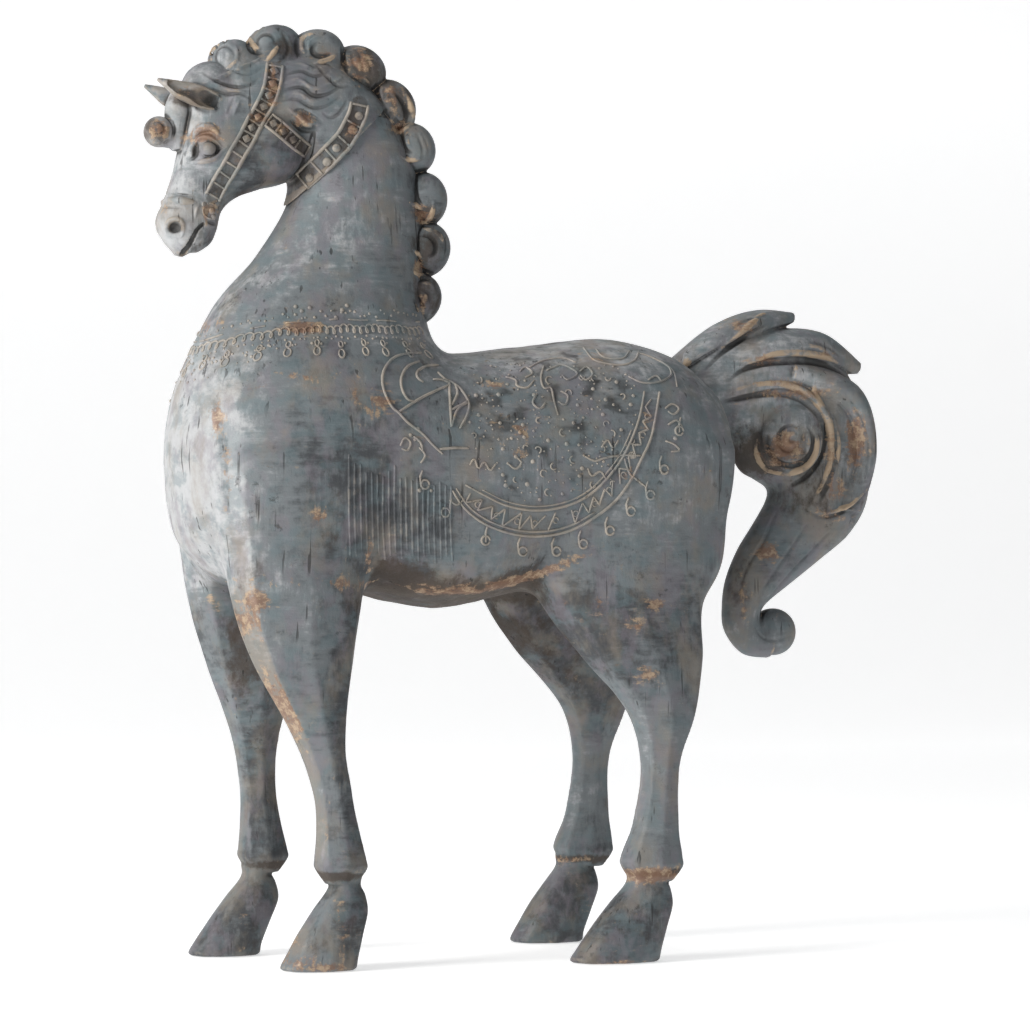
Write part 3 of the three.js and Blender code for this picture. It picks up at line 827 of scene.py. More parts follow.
def lobe_strands():
    """Grooves over the top of each lobe from side to side, which lean a little, as (points, radii)."""
    strands = []
    for x, z, tilt, long, tall, width in LOBES:
        angle = math.radians(tilt)
        for k in (-0.5, -0.1, 0.35):
            top = turned([(k * long, tall * math.sqrt(1 - k * k) * 1.02)], angle, (x, z))[0]
            span = np.linspace(-0.7, 0.7, 9) * width
            lean = 3.0 * np.sin(span / width * 3)
            dx, dz = math.cos(angle) * lean, math.sin(angle) * lean
            strands.append((np.stack([top[0] + dx, span, top[1] + dz], 1), taper(9, 0.3, 1.0)))
    return strands


def sculpt_mane():
    """The round lobes down the crest, with their curls."""
    field = Field(*MANE_BOX, MANE_VOXEL)
    for x, z, tilt, long, tall, width in LOBES:
        disc = ball((x, 0, z), (long, width, tall), tilt=math.radians(tilt), square=2.9, around=56, rings=32)
        field.add(disc, 2.0, 14)
    root_lobes(field)
    field.drawn = HAIR_PLANE
    field.raise_lines(side_strokes(field, CURL_RIDGES), 0.8)
    field.carve([*side_strokes(field, CURL_GROOVES, 0.1), *lobe_strands()], 0.8)
    return field


# ------------------------------------------------------------------ tail

# The tail's stem, from its root over the top and down to the curled tip.
TAIL = [
    rib(140, 360, 118, 405, 20),
    rib(151, 362, 138, 420.5, 22),
    rib(157, 351, 170, 431, 23),
    rib(162.5, 339.5, 204, 430, 23),
    rib(169, 329, 239, 411, 23),
    rib(179, 323.5, 260, 380.5, 23),
    rib(189, 317, 267, 346, 23),
    rib(188, 308, 264.5, 309, 21),
    rib(178, 292, 251, 286, 19),
    rib(166, 274, 230, 269, 17),
    rib(157.5, 254, 205.5, 251, 16),
    rib(155, 236, 185.5, 236, 14),
    rib(156.5, 218, 182, 228, 13),
    rib(170, 202, 183, 223, 13),
    rib(189, 199, 187, 220, 13),
]

# Two plumes stand on the tail's root, and one behind it hangs over the stem.
PLUMES = [
    [
        rib(118, 396, 122, 410, 18),
        rib(150, 412, 150, 431.5, 20),
        rib(180, 420, 180, 442, 15),
        rib(209, 434, 209, 441, 4),
    ],
    [
        rib(150, 392, 150, 410, 22),
        rib(185, 400, 187, 427, 25),
        rib(222, 398, 228, 428, 18),
        rib(259, 399, 261, 407, 4),
    ],
    [
        rib(196, 384, 202, 410, 24),
        rib(236, 371, 253.5, 391, 28),
        rib(246, 340, 267, 345, 28),
        rib(226, 304, 258, 300, 24),
    ],
]

# The lines cut and raised between the plumes and down the stem, as (line, least radius, greatest radius).
TAIL_GROOVES = [
    ([(132, 396), (140, 405), (152, 414), (168, 424), (184, 432)], 0.6, 1.8),
    ([(149, 390), (158, 397), (175, 403), (190, 405), (208, 406), (228, 403), (246, 396)], 0.8, 2.5),
    ([(146, 376), (156, 378), (170, 381), (188, 383), (205, 379), (217, 369), (221, 356), (219, 340),
      (210, 326), (200, 319)], 1.0, 2.8),
    ([(231, 338), (226, 322), (218, 306)], 0.6, 1.6),
    ([(257, 318), (243, 304), (230, 298), (218, 298), (209, 303)], 0.4, 1.3),
    ([(173, 222), (178, 214), (187, 211), (196, 213)], 0.4, 0.9),
    ([(150, 424), (166, 433), (182, 438)], 0.4, 1.0),
    ([(212, 420), (228, 416), (243, 408)], 0.4, 1.0),
    ([(236, 384), (249, 364), (254, 342), (250, 322)], 0.4, 1.1),
    ([(190, 300), (180, 280), (168, 262), (162, 244)], 0.4, 1.0),
    ([(232, 290), (214, 272), (196, 254), (183, 238)], 0.4, 1.0),
    ([(210, 292), (198, 274), (186, 258), (174, 240)], 0.4, 0.9),
]
TAIL_RIDGES = [
    ([(143, 411), (153, 419), (165, 428), (178, 437), (189, 440)], 0.4, 2.0),
    ([(158, 402), (169, 404), (180, 409), (193, 411), (212, 411), (227, 409), (245, 403)], 0.5, 2.3),
    ([(200, 416), (215, 416), (228, 412)], 0.3, 1.3),
    ([(150, 383), (164, 387), (176, 389), (192, 389), (207, 384), (219, 374), (226, 362), (227, 347),
      (226, 335), (220, 319), (212, 304)], 0.6, 2.6),
    ([(213, 392), (216, 382), (225, 369)], 0.4, 1.8),
    ([(230, 366), (233, 350), (231, 336), (225, 318), (218, 305)], 0.4, 1.7),
    ([(258, 321), (244, 307), (231, 301), (219, 301)], 0.4, 1.4),
]

# The volute on its side, a ring that winds in round a sunk boss. Each turn is cut or raised: its middle,
# radius, first and last angle, number of points and growth, then the stroke's radii and fillet.
VOLUTE = [
    (Field.carve, ((194, 349), 17.5, 168, 398, 34, -1.0), 1.0, 2.4, 0.8),
    (Field.raise_lines, ((194, 348), 21.5, 165, 375, 30, -1.5), 0.8, 2.2, 0.9),
    (Field.carve, ((193, 350), 10.5, 60, 350, 26, -4.0), 0.8, 1.7, 0.8),
    (Field.raise_lines, ((193, 350), 5.0, 40, 300, 16, -2.0), 0.8, 1.9, 0.8),
]


def sculpt_tail():
    """The tail's stem with its curled tip, the plumes, and the boss with its volute."""
    field = Field((96, -38, 190), (280, 38, 452), TAIL_VOXEL)
    field.add(loft(TAIL, 120, 56))
    field.add(ball((192.5, 0, 217.3), (16, 14, 16.5), square=2.5), 1.5)
    for ribs in PLUMES:
        field.add(loft(ribs, 50, 44), 0.6)
    field.add(ball((198, 0, 351), (25, 29, 26), square=5, around=64, rings=32), 0.6)
    field.raise_lines(side_strokes(field, TAIL_RIDGES), 1.2)
    field.carve(side_strokes(field, TAIL_GROOVES), 1.0)
    for work, turn, low, high, fillet in VOLUTE:
        work(field, side_strokes(field, [(arc(*turn), low, high)]), fillet)
    return field


# ------------------------------------------------------------------ meshes


def to_frame(points):
    """Points in the sculpting frame, in the part's frame, in metres."""
    return (np.asarray(points, float) + (SHIFT_X, 0, 0)) * MM


def new_mesh(name, points, faces):
    """A smooth-shaded object from points in metres and faces with the same number of corners."""
    faces = np.asarray(faces, int)
    corners = faces.shape[1]
    mesh = bpy.data.meshes.new(name)
    mesh.vertices.add(len(points))
    mesh.vertices.foreach_set("co", np.asarray(points, np.float32).ravel())
    mesh.loops.add(faces.size)
    mesh.loops.foreach_set("vertex_index", faces.astype(np.int32).ravel())
    mesh.polygons.add(len(faces))
    mesh.polygons.foreach_set("loop_start", np.arange(0, faces.size, corners, dtype=np.int32))
    mesh.polygons.foreach_set("use_smooth", np.ones(len(faces), bool))
    mesh.update(calc_edges=True)
    mesh.validate()
    made = bpy.data.objects.new(name, mesh)
    bpy.context.scene.collection.objects.link(made)
    return made


def positions(obj):
    """The vertices of an object in the sculpting frame, in millimetres."""
    co = np.empty(len(obj.data.vertices) * 3, np.float32)
    obj.data.vertices.foreach_get("co", co)
    return co.reshape(-1, 3) / MM - (SHIFT_X, 0, 0)


def normals(obj):
    """The normals at an object's vertices."""
    co = np.empty(len(obj.data.vertices) * 3, np.float32)
    obj.data.vertex_normals.foreach_get("vector", co)
    return co.reshape(-1, 3).astype(float)


def simplify(obj, triangles):
    """Keeps the shape in at most that many triangles."""
    faces = sum(len(p.vertices) - 2 for p in obj.data.polygons)
    if faces > triangles:
        modifier = obj.modifiers.new("simplify", "DECIMATE")
        modifier.ratio = triangles / faces
        evaluated = obj.evaluated_get(bpy.context.evaluated_depsgraph_get())
        mesh = bpy.data.meshes.new_from_object(evaluated)
        obj.modifiers.clear()
        obj.data = mesh
    obj.data.polygons.foreach_set("use_smooth", np.ones(len(obj.data.polygons), bool))
    return obj


def note(obj, name, values):
    """Stores one number per vertex, for the paint to read."""
    attribute = obj.data.attributes.new(name, "FLOAT", "POINT")
    attribute.data.foreach_set("value", np.asarray(values, np.float32))


# ------------------------------------------------------------------ raised lines


def tube(path, out, radius, sides=6):
    """A cord along a path, with out as the surface normals under it, drawn in to a point past each end."""
    path, out = np.asarray(path, float), np.asarray(out, float)
    along = np.gradient(path, axis=0)
    along /= np.linalg.norm(along, axis=1)[:, None] + 1e-9
    up = out - (out * along).sum(1)[:, None] * along
    up /= np.linalg.norm(up, axis=1)[:, None] + 1e-9
    aside = np.cross(along, up)
    radius = np.broadcast_to(radius, len(path))[:, None]
    rings = []
    for k in range(sides):
        angle = 2 * math.pi * (k + 0.5) / sides
        rings.append(path + radius * (math.cos(angle) * up + math.sin(angle) * aside))
    grid = np.stack(rings, 1)
    tips = []
    for end, way in ((0, -1), (-1, 1)):
        middle = grid[end].mean(0) + way * along[end] * radius[end] * 0.6
        tips.append(np.broadcast_to(middle, (1, sides, 3)))
    return skin(list(np.concatenate([tips[0], grid, tips[1]])))


def smoothed(rows, rounds=2):
    """Rows averaged with their neighbours, kept at unit length."""
    for _ in range(rounds):
        padded = np.concatenate([rows[:1], rows, rows[-1:]])
        rows = (padded[:-2] + padded[1:-1] + padded[2:]) / 3
    return rows / (np.linalg.norm(rows, axis=1)[:, None] + 1e-9)


def stud(place, out, size, height, sides=10, rings=4):
    """A dome on a surface."""
    aside = np.cross(out, (0.3, 0.1, 0.9))
    aside /= np.linalg.norm(aside)
    across = np.cross(out, aside)
    angle = np.linspace(0, 2 * math.pi, sides, endpoint=False)[:, None]
    foot = place - out * 0.6
    sections = [np.repeat(foot[None], sides, 0)]
    for k in range(rings):
        lift = k / rings * math.pi / 2
        ring = size * math.cos(lift) * (np.cos(angle) * aside + np.sin(angle) * across)
        sections.append((foot if k == 0 else place + out * height * math.sin(lift)) + ring)
    sections.append(np.repeat((place + out * height)[None], sides, 0))
    return skin(sections)


class Relief:
    """Raised lines and bosses that lie on a surface, gathered into one piece."""

    def __init__(self, name, tree):
        self.name, self.tree = name, tree
        self.points, self.faces, self.count = [], [], 0

    def take(self, shape):
        """Adds a closed mesh."""
        points, triangles = shape
        self.points.append(points)
        self.faces.append(triangles + self.count)
        self.count += len(points)

    def lay(self, points, towards):
        """Points moved on to the surface, along one direction or one each: (places, normals)."""
        ways = np.broadcast_to(np.asarray(towards, float), (len(points), 3))
        places, out = [], []
        for p, way in zip(points, ways):
            hit, normal, _, _ = self.tree.ray_cast(Vector(p), Vector(way))
            if hit is not None:
                places.append(hit)
                out.append(normal if normal.dot(Vector(way)) < 0 else -normal)
        return np.array(places, float).reshape(-1, 3), np.array(out, float).reshape(-1, 3)

    def cord(self, points, towards, radius, sink=CORD_SINK):
        """A raised line, thinner at its ends."""
        places, out = self.lay(points, towards)
        if len(places) > 2:
            out = smoothed(out)
            radii = radius * taper(len(places), 0.75, 1.0, 0.5)
            self.take(tube(places + out * radius * (0.5 - sink), out, radii))

    def boss(self, point, towards, size, height=0.8, sides=10):
        """A low domed stud."""
        places, out = self.lay([point], towards)
        if len(places):
            self.take(stud(places[0], out[0], size, size * height, sides))

    def piece(self):
        """The relief as an object, with the notes that its paint reads."""
        points = to_frame(np.concatenate(self.points))
        obj = new_mesh(self.name, points, np.concatenate(self.faces))
        at = positions(obj)
        note(obj, "hollow", np.zeros(len(at)))
        note(obj, "edge", np.full(len(at), 0.35))
        note(obj, "gold", rubbed(at))
        # Painted shade in the beds between the straps' rails, with the browned spots.
        note(obj, "brown_and_shade", np.maximum(browned_and_shaded(at), 0.7 * strap_bed(at, 0.6)))
        note(obj, "light_and_tone", light_and_tone(at))
        note(obj, "sand", np.zeros(len(at)))
        return obj


def along_line(points, share):
    """The points and directions at shares of a line's length."""
    fine = even(points, 0.5)
    at = np.clip(np.asarray(share) * (len(fine) - 1), 0, len(fine) - 1)
    i = np.minimum(at.astype(int), len(fine) - 2)
    step = fine[i + 1] - fine[i]
    return fine[i] + (at - i)[:, None] * step, step / np.linalg.norm(step, axis=1)[:, None]


def offset(points, distance):
    """A line beside a line."""
    points = np.asarray(points, float)
    step = np.gradient(points, axis=0)
    step /= np.linalg.norm(step, axis=1)[:, None] + 1e-9
    return points + distance * np.stack([-step[:, 1], step[:, 0]], 1)


# ------------------------------------------------------------------ saddle cloth and flank

# The cloth and flutes are drawn on an upright plane beside each flank, and laid on it at this angle and rise.
DRAW_PLANE = 82.0
DRAW_ANGLE = math.radians(21.0)
DRAW_RISE = 0.026

# The cloth's two borders, from the front to the back, and the corners of the triangles between them.
CLOTH_OUTER = [
    (-75, 310), (-67, 299), (-55, 290), (-40, 284), (-23, 281), (-4, 282), (13, 287), (30, 297), (41, 306),
    (51, 319), (58, 332), (65, 346), (69, 362), (72, 378),
]
CLOTH_INNER = [
    (-66, 314), (-52, 307), (-38, 301), (-21, 298), (-4, 299), (13, 304), (27, 313), (41, 328), (50, 343),
    (57, 360), (61, 378),
]
TEETH = 38

# The scroll at the front of the cloth, and the vines and hooks inside it.
ROUNDEL = [
    [(-98, 401), (-107, 400), (-116, 397), (-122, 390), (-124, 382), (-122, 373), (-117, 364),
     (-112, 360), (-106, 354), (-96, 347), (-89, 340), (-82, 334)],
    [(-99, 395), (-107, 391), (-111, 383), (-110, 375), (-106, 369), (-101, 368)],
    [(-86, 393), (-94, 392), (-100, 388), (-100, 384), (-96, 381)], [(-112, 361), (-96, 371), (-77, 380)],
    [(-78, 383), (-77, 368), (-76, 352)],
    [(-86, 388), (-80, 383), (-75, 381), (-69, 376), (-64, 368), (-65, 360), (-70, 351)],
    [(-89, 383), (-83, 383), (-78, 381)], [(-76, 352), (-72, 363), (-65, 369)],
    [(-76, 363), (-70, 366), (-64, 368)], [(-74, 381), (-72, 374), (-76, 366)],
    [(-84, 337), (-74, 338), (-64, 338)], [(-102, 345), (-97, 341), (-96, 336)],
]
VINES = [
    [(-38, 386), (-31, 384), (-30, 380), (-23, 379), (-18, 384)],
    [(-11, 394), (-13, 386), (-11, 379), (-6, 379), (-4, 371), (-1, 361)],
    [(-9, 391), (1, 395), (8, 393), (13, 389), (6, 385), (2, 388)],
    [(-21, 393), (-11, 398), (3, 400), (12, 397)], [(-28, 390), (-24, 393), (-19, 389), (-24, 386)],
    [(15, 391), (20, 394), (24, 389), (19, 385), (15, 388)],
    [(-16, 375), (-19, 369), (-14, 365), (-10, 369)], [(1, 377), (6, 374), (4, 368), (-1, 370)],
    [(18, 408), (24, 400), (32, 397), (46, 396), (55, 400), (58, 406)],
    [(27, 407), (31, 402), (39, 400), (47, 401), (51, 406)],
    [(50, 388), (60, 384), (72, 385), (81, 390), (79, 397)],
    [(57, 405), (65, 403), (76, 398), (83, 392), (85, 382)],
    [(18, 334), (25, 331), (32, 333), (44, 335), (58, 335)], [(46, 333), (50, 323), (55, 319), (62, 314)],
    [(30, 340), (34, 345), (38, 340), (42, 345)],
    [(-63, 327), (-60, 331), (-57, 325), (-53, 329), (-49, 324), (-45, 328)],
    [(20, 326), (23, 321), (29, 324), (33, 319)], [(-31, 333), (-27, 329), (-31, 325), (-36, 328)],
    [(-111, 339), (-108, 344), (-104, 341), (-106, 336), (-110, 337)], [(-98, 338), (-94, 333), (-97, 328)],
    [(-67, 305), (-72, 301), (-77, 304)], [(64, 386), (70, 389), (74, 385)],
    [(76, 367), (81, 370), (86, 367), (82, 363), (78, 365)], [(78, 356), (84, 359), (88, 355)],
    [(76, 345), (82, 343), (86, 339), (80, 338)],
]

# Each drop is a ring's middle, and the side of it that its stem stands on.
DROPS = [
    (-94, 314, -1), (-80, 296, 1), (-52, 278, 0), (-26, 271, -1), (-2, 271, -1), (17, 276, -1),
    (36, 285, -1), (51, 298, -1), (65, 309, -1), (75, 326, -1), (86, 352, 0),
]
STUDS = [
    (-59, 373), (-57, 360), (-42, 355), (-31, 333), (-34, 345), (-19, 330), (-8, 344), (5, 342), (16, 326),
    (14, 321), (-23, 315), (-14, 305), (2, 309), (24, 379), (41, 384), (53, 375), (33, 372), (31, 362),
    (44, 352), (51, 369), (-40, 321), (-38, 314), (10, 356), (-18, 374), (-25, 346), (13, 368), (-26, 354),
    (-28, 349), (-40, 338), (-43, 374), (-37, 381), (-104, 346), (-99, 350), (-101, 343), (-90, 310),
    (-98, 310), (83, 347),
]

# Small hooks and grains are strewn between the studs: how many, the box that their places are drawn in, the
# ellipse that they stay inside, as its middle and half sizes, and how far apart they keep.
HOOKS = dict(count=70, box=((-64, 62), (303, 396)), middle=(-2, 366), half=(62, 66), apart=6.5)
GRAINS = dict(count=160, box=((-66, 60), (300, 396)), middle=(-2, 364), half=(64, 66), apart=2.6)

# Upright flutes behind each shoulder: how many, where the first is, their step, and its top and foot.
FLUTES = 19
FLUTE_START = -146
FLUTE_STEP = 3.9
FLUTE_TOP = 330
FLUTE_FOOT = 268


def flank_points(points, side):
    """Ray starts through XZ points drawn beside one flank, and their direction."""
    points = np.asarray(points, float)
    towards = np.array([math.sin(DRAW_ANGLE), -side * math.cos(DRAW_ANGLE), DRAW_RISE])
    on_plane = np.stack([points[:, 0], np.full(len(points), side * DRAW_PLANE), points[:, 1]], 1)
    return on_plane - towards * RAY_START, towards


def cloth_border(random):
    """The cloth's borders, and the uneven triangles and small rings that fill the band between them."""
    outer, inner = even(CLOTH_OUTER, 2), even(CLOTH_INNER, 2)
    half = len(outer) * 55 // 100
    lines = [(outer, 1.0), (offset(outer, 3.0)[:half], 0.8), (inner, 0.9), (offset(inner, 2.6)[6:-14], 0.6)]
    share = np.linspace(0.03, 0.97, TEETH) + random.uniform(-0.006, 0.006, TEETH)
    low, _ = along_line(offset(outer, 4.2), share)
    high, _ = along_line(offset(inner, -3.0), share)
    row = np.array([low[k] if k % 2 else high[k] for k in range(TEETH)]) + random.uniform(-1, 1, (TEETH, 2))
    # The triangles are broken at three places.
    lines += [(straight(row[a:b], 1.5), 0.75) for a, b in ((0, 13), (13, 15), (16, 25), (25, TEETH))]
    for k in range(2, TEETH - 2, 3):
        lines.append((arc(0.5 * (low[k] + high[k]) + random.uniform(-1, 1, 2), 1.9, 0, 300, 12), 0.6))
    return lines


def cloth_drops():
    """A ring on a bent stem for each drop."""
    lines = []
    for x, z, way in DROPS:
        lines.append((arc((x, z), 2.9, 0, 340, 16), 0.85))
        foot = np.array([x + 3.0 * way, z])
        lines.append((straight([foot + (0, -1), foot + (0.4 * way, 5), foot + (1.2, 9)], 1.2), 0.8))
    return lines


def strewn(random, taken, count, box, middle, half, apart):
    """Yields random places in the cloth's field, that far apart from one another and from those taken."""
    taken = list(taken)
    while count:
        x, z = random.uniform(*box[0]), random.uniform(*box[1])
        inside = np.hypot((x - middle[0]) / half[0], (z - middle[1]) / half[1]) < 1
        below_edge = z < 398 - 0.02 * abs(x - 20)
        if inside and below_edge and all(math.hypot(x - a, z - b) > apart for a, b, *_ in taken):
            taken.append((x, z))
            count -= 1
            yield x, z


def cloth_lines():
    """The lines of the saddle cloth in XZ with their half thickness, and its studs as (x, z, size)."""
    random = np.random.default_rng(11)
    lines = cloth_border(random) + cloth_drops()
    lines += [(even(line, 1.6), 1.0) for line in ROUNDEL]
    lines += [(even(line, 1.4), 0.8) for line in VINES]
    studs = [(x, z, random.uniform(1.2, 1.7)) for x, z in STUDS]
    # Every third place is a hook, and the others are small studs.
    spots = list(strewn(random, studs, **HOOKS))
    for k, (x, z) in enumerate(spots):
        if k % 3 == 0:
            turn, radius = random.uniform(0, 360), random.uniform(1.6, 2.6)
            lines.append((arc((x, z), radius, turn, turn + random.uniform(160, 280), 10), 0.6))
        else:
            studs.append((x, z, random.uniform(0.7, 1.15)))
    taken = [*spots, *studs]
    studs += [(x, z, random.uniform(0.45, 0.8)) for x, z in strewn(random, taken, **GRAINS)]
    return lines, studs


def saddle_cloth(tree):
    """The saddle cloth's lines and studs, on both flanks."""
    relief = Relief("saddle_cloth_lines", tree)
    lines, studs = cloth_lines()
    for side in (-1, 1):
        for line, radius in lines:
            relief.cord(*flank_points(line, side), radius)
        for x, z, size in studs:
            (point,), towards = flank_points([(x, z)], side)
            relief.boss(point, towards, size)
    return relief.piece()


def flank_flutes(tree):
    """Upright tool ridges behind each shoulder."""
    relief = Relief("flank_flutes", tree)
    random = np.random.default_rng(17)
    for side in (-1, 1):
        for k in range(FLUTES):
            x = FLUTE_START + FLUTE_STEP * k
            top = FLUTE_TOP - 0.9 * k + random.uniform(-6, 4)
            low = FLUTE_FOOT - 0.25 * k + random.uniform(-3, 5)
            line = even([(x, top), (x + random.uniform(-0.6, 0.6), (top + low) / 2), (x + 0.6, low)], 2.5)
            relief.cord(*flank_points(line, side), 1.1, 0.7)
    return relief.piece()


# ------------------------------------------------------------------ collar

# The collar slopes down to the front: its height over x. It is drawn by its turn round an upright axis at
# this x, in degrees from straight ahead, with rays that start this far out.
COLLAR = [(-262, 392), (-180, 414), (-20, 419)]
COLLAR_AXIS = -140.0
COLLAR_TURNS = np.arange(-150, 150.1, 2.0)
COLLAR_START = 160

# Single beads over the collar on each side, three before the shoulder and two on it.
HIGH_BEADS = (-66, -61, -57, 57, 61, 66, -88, -92, 88, 92)


def collar_levels(tree):
    """The height of the collar's middle at each of its turns round the neck."""
    fine = even(COLLAR, 2)
    levels = []
    for turn in np.radians(COLLAR_TURNS):
        way = Vector((-math.cos(turn), math.sin(turn), 0))
        x = COLLAR_AXIS
        for _ in range(4):
            z = float(np.interp(x, fine[:, 0], fine[:, 1]))
            hit, _, _, _ = tree.ray_cast(Vector((COLLAR_AXIS, 0, z)) + way * COLLAR_START, -way)
            if hit is None:
                break
            x = hit.x
        levels.append(z)
    return levels


def collar(tree):
    """The collar's broken upper line, its chain of loops, its beads and its drops."""
    relief = Relief("collar_relief", tree)
    random = np.random.default_rng(23)
    levels = collar_levels(tree)

    def rays(turn, low):
        """Ray starts and directions, at turns round the neck and heights over the collar's middle."""
        turn, low = np.broadcast_arrays(np.asarray(turn, float), np.asarray(low, float))
        angle = np.radians(turn)
        way = np.stack([-np.cos(angle), np.sin(angle), np.zeros(len(angle))], 1)
        level = np.interp(turn, COLLAR_TURNS, levels) + low
        base = np.stack([np.full(len(angle), COLLAR_AXIS), np.zeros(len(angle)), level], 1)
        return base + way * COLLAR_START, -way

    def bead(turn, low, size):
        """One boss of the collar."""
        starts, ways = rays([turn], [low])
        relief.boss(starts[0], ways[0], size)

    for piece in np.split(np.linspace(-148, 148, 364), 14):
        part = piece[:random.integers(6, len(piece))]
        relief.cord(*rays(part, 5.0 + random.uniform(-0.6, 0.6) + 0.4 * np.sin(part / 5)), 0.7)
    # A chain of loose loops, with beads over and under it.
    loops = np.arange(-148, 148, 0.22)
    swing = 2 * math.pi * loops / 4.4
    rise = -1.0 + 2.5 * np.cos(swing) + 0.7 * np.sin(loops / 3)
    relief.cord(*rays(loops + 1.5 * np.sin(swing), rise), 0.75)
    for turn in np.arange(-146, 146, 3.7):
        bead(turn + random.uniform(-1.2, 1.2), 9.0 + random.uniform(-2, 3), random.uniform(0.7, 1.25))
        bead(turn + random.uniform(-1, 1), -6.5 + random.uniform(-1.2, 1), random.uniform(0.6, 1.0))
    # Drops of two rings, each with a bead beside it.
    for turn in np.arange(-141, 142, 14.1):
        middle = turn + random.uniform(-1.5, 1.5)
        lean = random.uniform(-0.8, 0.8)
        length = random.uniform(0.85, 1.15)
        for low, size in ((-10.0, 1.7), (-15.5, 2.4)):
            angle = np.radians(np.linspace(80, 420, 14))
            ring_turn = middle + lean + size * np.cos(angle) * 0.72
            relief.cord(*rays(ring_turn, low * length + size * 1.15 * np.sin(angle)), 0.7)
        bead(middle - 2.6, -10.5, 1.0)
    # Beads gather towards the breast.
    for _ in range(90):
        turn = random.normal(0, 34)
        low = -8.0 - abs(random.normal(0, 11)) * max(0.25, 1 - abs(turn) / 70)
        bead(turn, low, random.uniform(0.6, 1.3))
    for turn in HIGH_BEADS:
        bead(turn, 13 + random.uniform(-2, 3), 1.5)
    return relief.piece()


# ------------------------------------------------------------------ bridle

# The middles of the straps, and the bosses at the throat strap and the bit as x, z and size.
CHEEK_STRAP = [
    (-179, 591), (-180.5, 580), (-183, 571), (-187, 563), (-190.5, 556.5), (-194.5, 549.5), (-198.5, 541.5),
    (-204.3, 532), (-210.2, 521.5), (-214.7, 514.5), (-218.2, 508.5), (-221.6, 502),
]
BROW_STRAP = [(-183.5, 554.5), (-177, 550), (-170.5, 545), (-163.5, 539.5), (-156.5, 535)]
THROAT_STRAP = [
    (-120.5, 568), (-122, 561), (-126, 552.5), (-131, 544), (-137.5, 537), (-144.5, 530), (-152.5, 522),
    (-160.5, 514.8),
]
THROAT_BEADS = [
    (-121, 560, 3.0), (-125, 550.5, 3.6), (-136.5, 538, 3.0), (-143, 528.5, 3.2), (-155, 517.5, 3.2),
]
BIT = [(-227, 497, 2.0), (-222, 493, 2.6), (-221, 489, 2.2)]


def beside(points, side):
    """Ray starts and directions from the eye through XZ points drawn on an upright plane beside the head."""
    points = np.asarray(points, float)
    target = np.stack([points[:, 0], np.full(len(points), side * HAIR_PLANE), points[:, 1]], 1)
    away = target - np.array([EYE[0], side * EYE[1], EYE[2]])
    towards = away / np.linalg.norm(away, axis=1)[:, None]
    return target - towards * RAY_START, towards


def strap(relief, middle, halves, cell, side, bossed, rail=1.15, rung=0.85):
    """Two rails with rungs across them, about a cell apart, and squared bosses between the rungs as far along
    as the share that is bossed. halves are the strap's half widths at its two ends."""
    line = even(middle, 1.5)
    half = np.linspace(*halves, len(line))
    for way in (-1, 1):
        relief.cord(*beside(offset(line, way * half[:, None]), side), rail)
    count = max(2, int(round(1.5 * (len(line) - 1) / cell)))
    for share in np.linspace(0.01, 0.99, count + 1):
        (p,), (way,) = along_line(middle, [share])
        across = np.array([-way[1], way[0]]) * np.interp(share, (0, 1), halves)
        relief.cord(*beside(straight([p - across, p + across], 1.0), side), rung)
    for share in (np.arange(count) + 0.5) / count:
        if share <= bossed:
            starts, ways = beside(along_line(middle, [share])[0], side)
            size = min(np.interp(share, (0, 1), halves), cell / 2) * 0.8
            relief.boss(starts[0], ways[0], size, 0.6, 4)


def bridle(tree):
    """The ladder straps of the bridle with their bosses, and the ring of the bit."""
    relief = Relief("bridle_relief", tree)
    for side in (-1, 1):
        strap(relief, CHEEK_STRAP, (5.4, 4.9), 8.6, side, 0.56, 1.35)
        strap(relief, BROW_STRAP, (4.6, 4.2), 8.0, side, 0.7)
        strap(relief, THROAT_STRAP, (6.0, 6.2), 12.5, side, 0.0, 1.3, 0.9)
        for x, z, size in [*THROAT_BEADS, *BIT]:
            starts, ways = beside([(x, z)], side)
            relief.boss(starts[0], ways[0], size, 0.62, 12)
        relief.cord(*beside(arc((-223, 493), 5.0, 60, 290, 20), side), 0.8)
    return relief.piece()


# ------------------------------------------------------------------ where the paint is worn or browned, and where light and shade are painted

# Places painted paler where light falls and darker where shade falls: x, z, radius in x, radius in z and
# change. The floor is at z = 0.
LIGHT_AND_SHADE_SPOTS = [
    (-250, 505, 30, 75, 0.46), (-174, 528, 24, 22, -0.62), (-168, 603, 13, 9, -0.55),
    (-72, 472, 16, 17, -0.26), (-76, 440, 16, 16, -0.24), (-80, 508, 12, 12, -0.24),
    (-205, 600, 24, 14, 0.10), (-240, 562, 10, 14, 0.34), (-230, 549, 8, 8, 0.34),
    (-195, 506, 24, 9, -0.25), (-219, 478, 7, 7, -0.25), (-160, 455, 50, 44, 0.17),
    (-252, 345, 40, 115, 0.50), (-118, 300, 42, 46, -0.34), (-155, 330, 24, 80, -0.17),
    (60, 410, 90, 22, 0.38), (-50, 412, 70, 18, 0.30), (80, 320, 30, 50, 0.06), (55, 215, 48, 52, -0.26),
    (-125, 190, 26, 75, -0.26), (-205, 200, 18, 70, 0.10), (75, 110, 30, 50, 0.06), (70, 28, 50, 34, -0.30),
    (-170, 20, 40, 30, -0.03), (190, 390, 60, 50, 0.19),
]

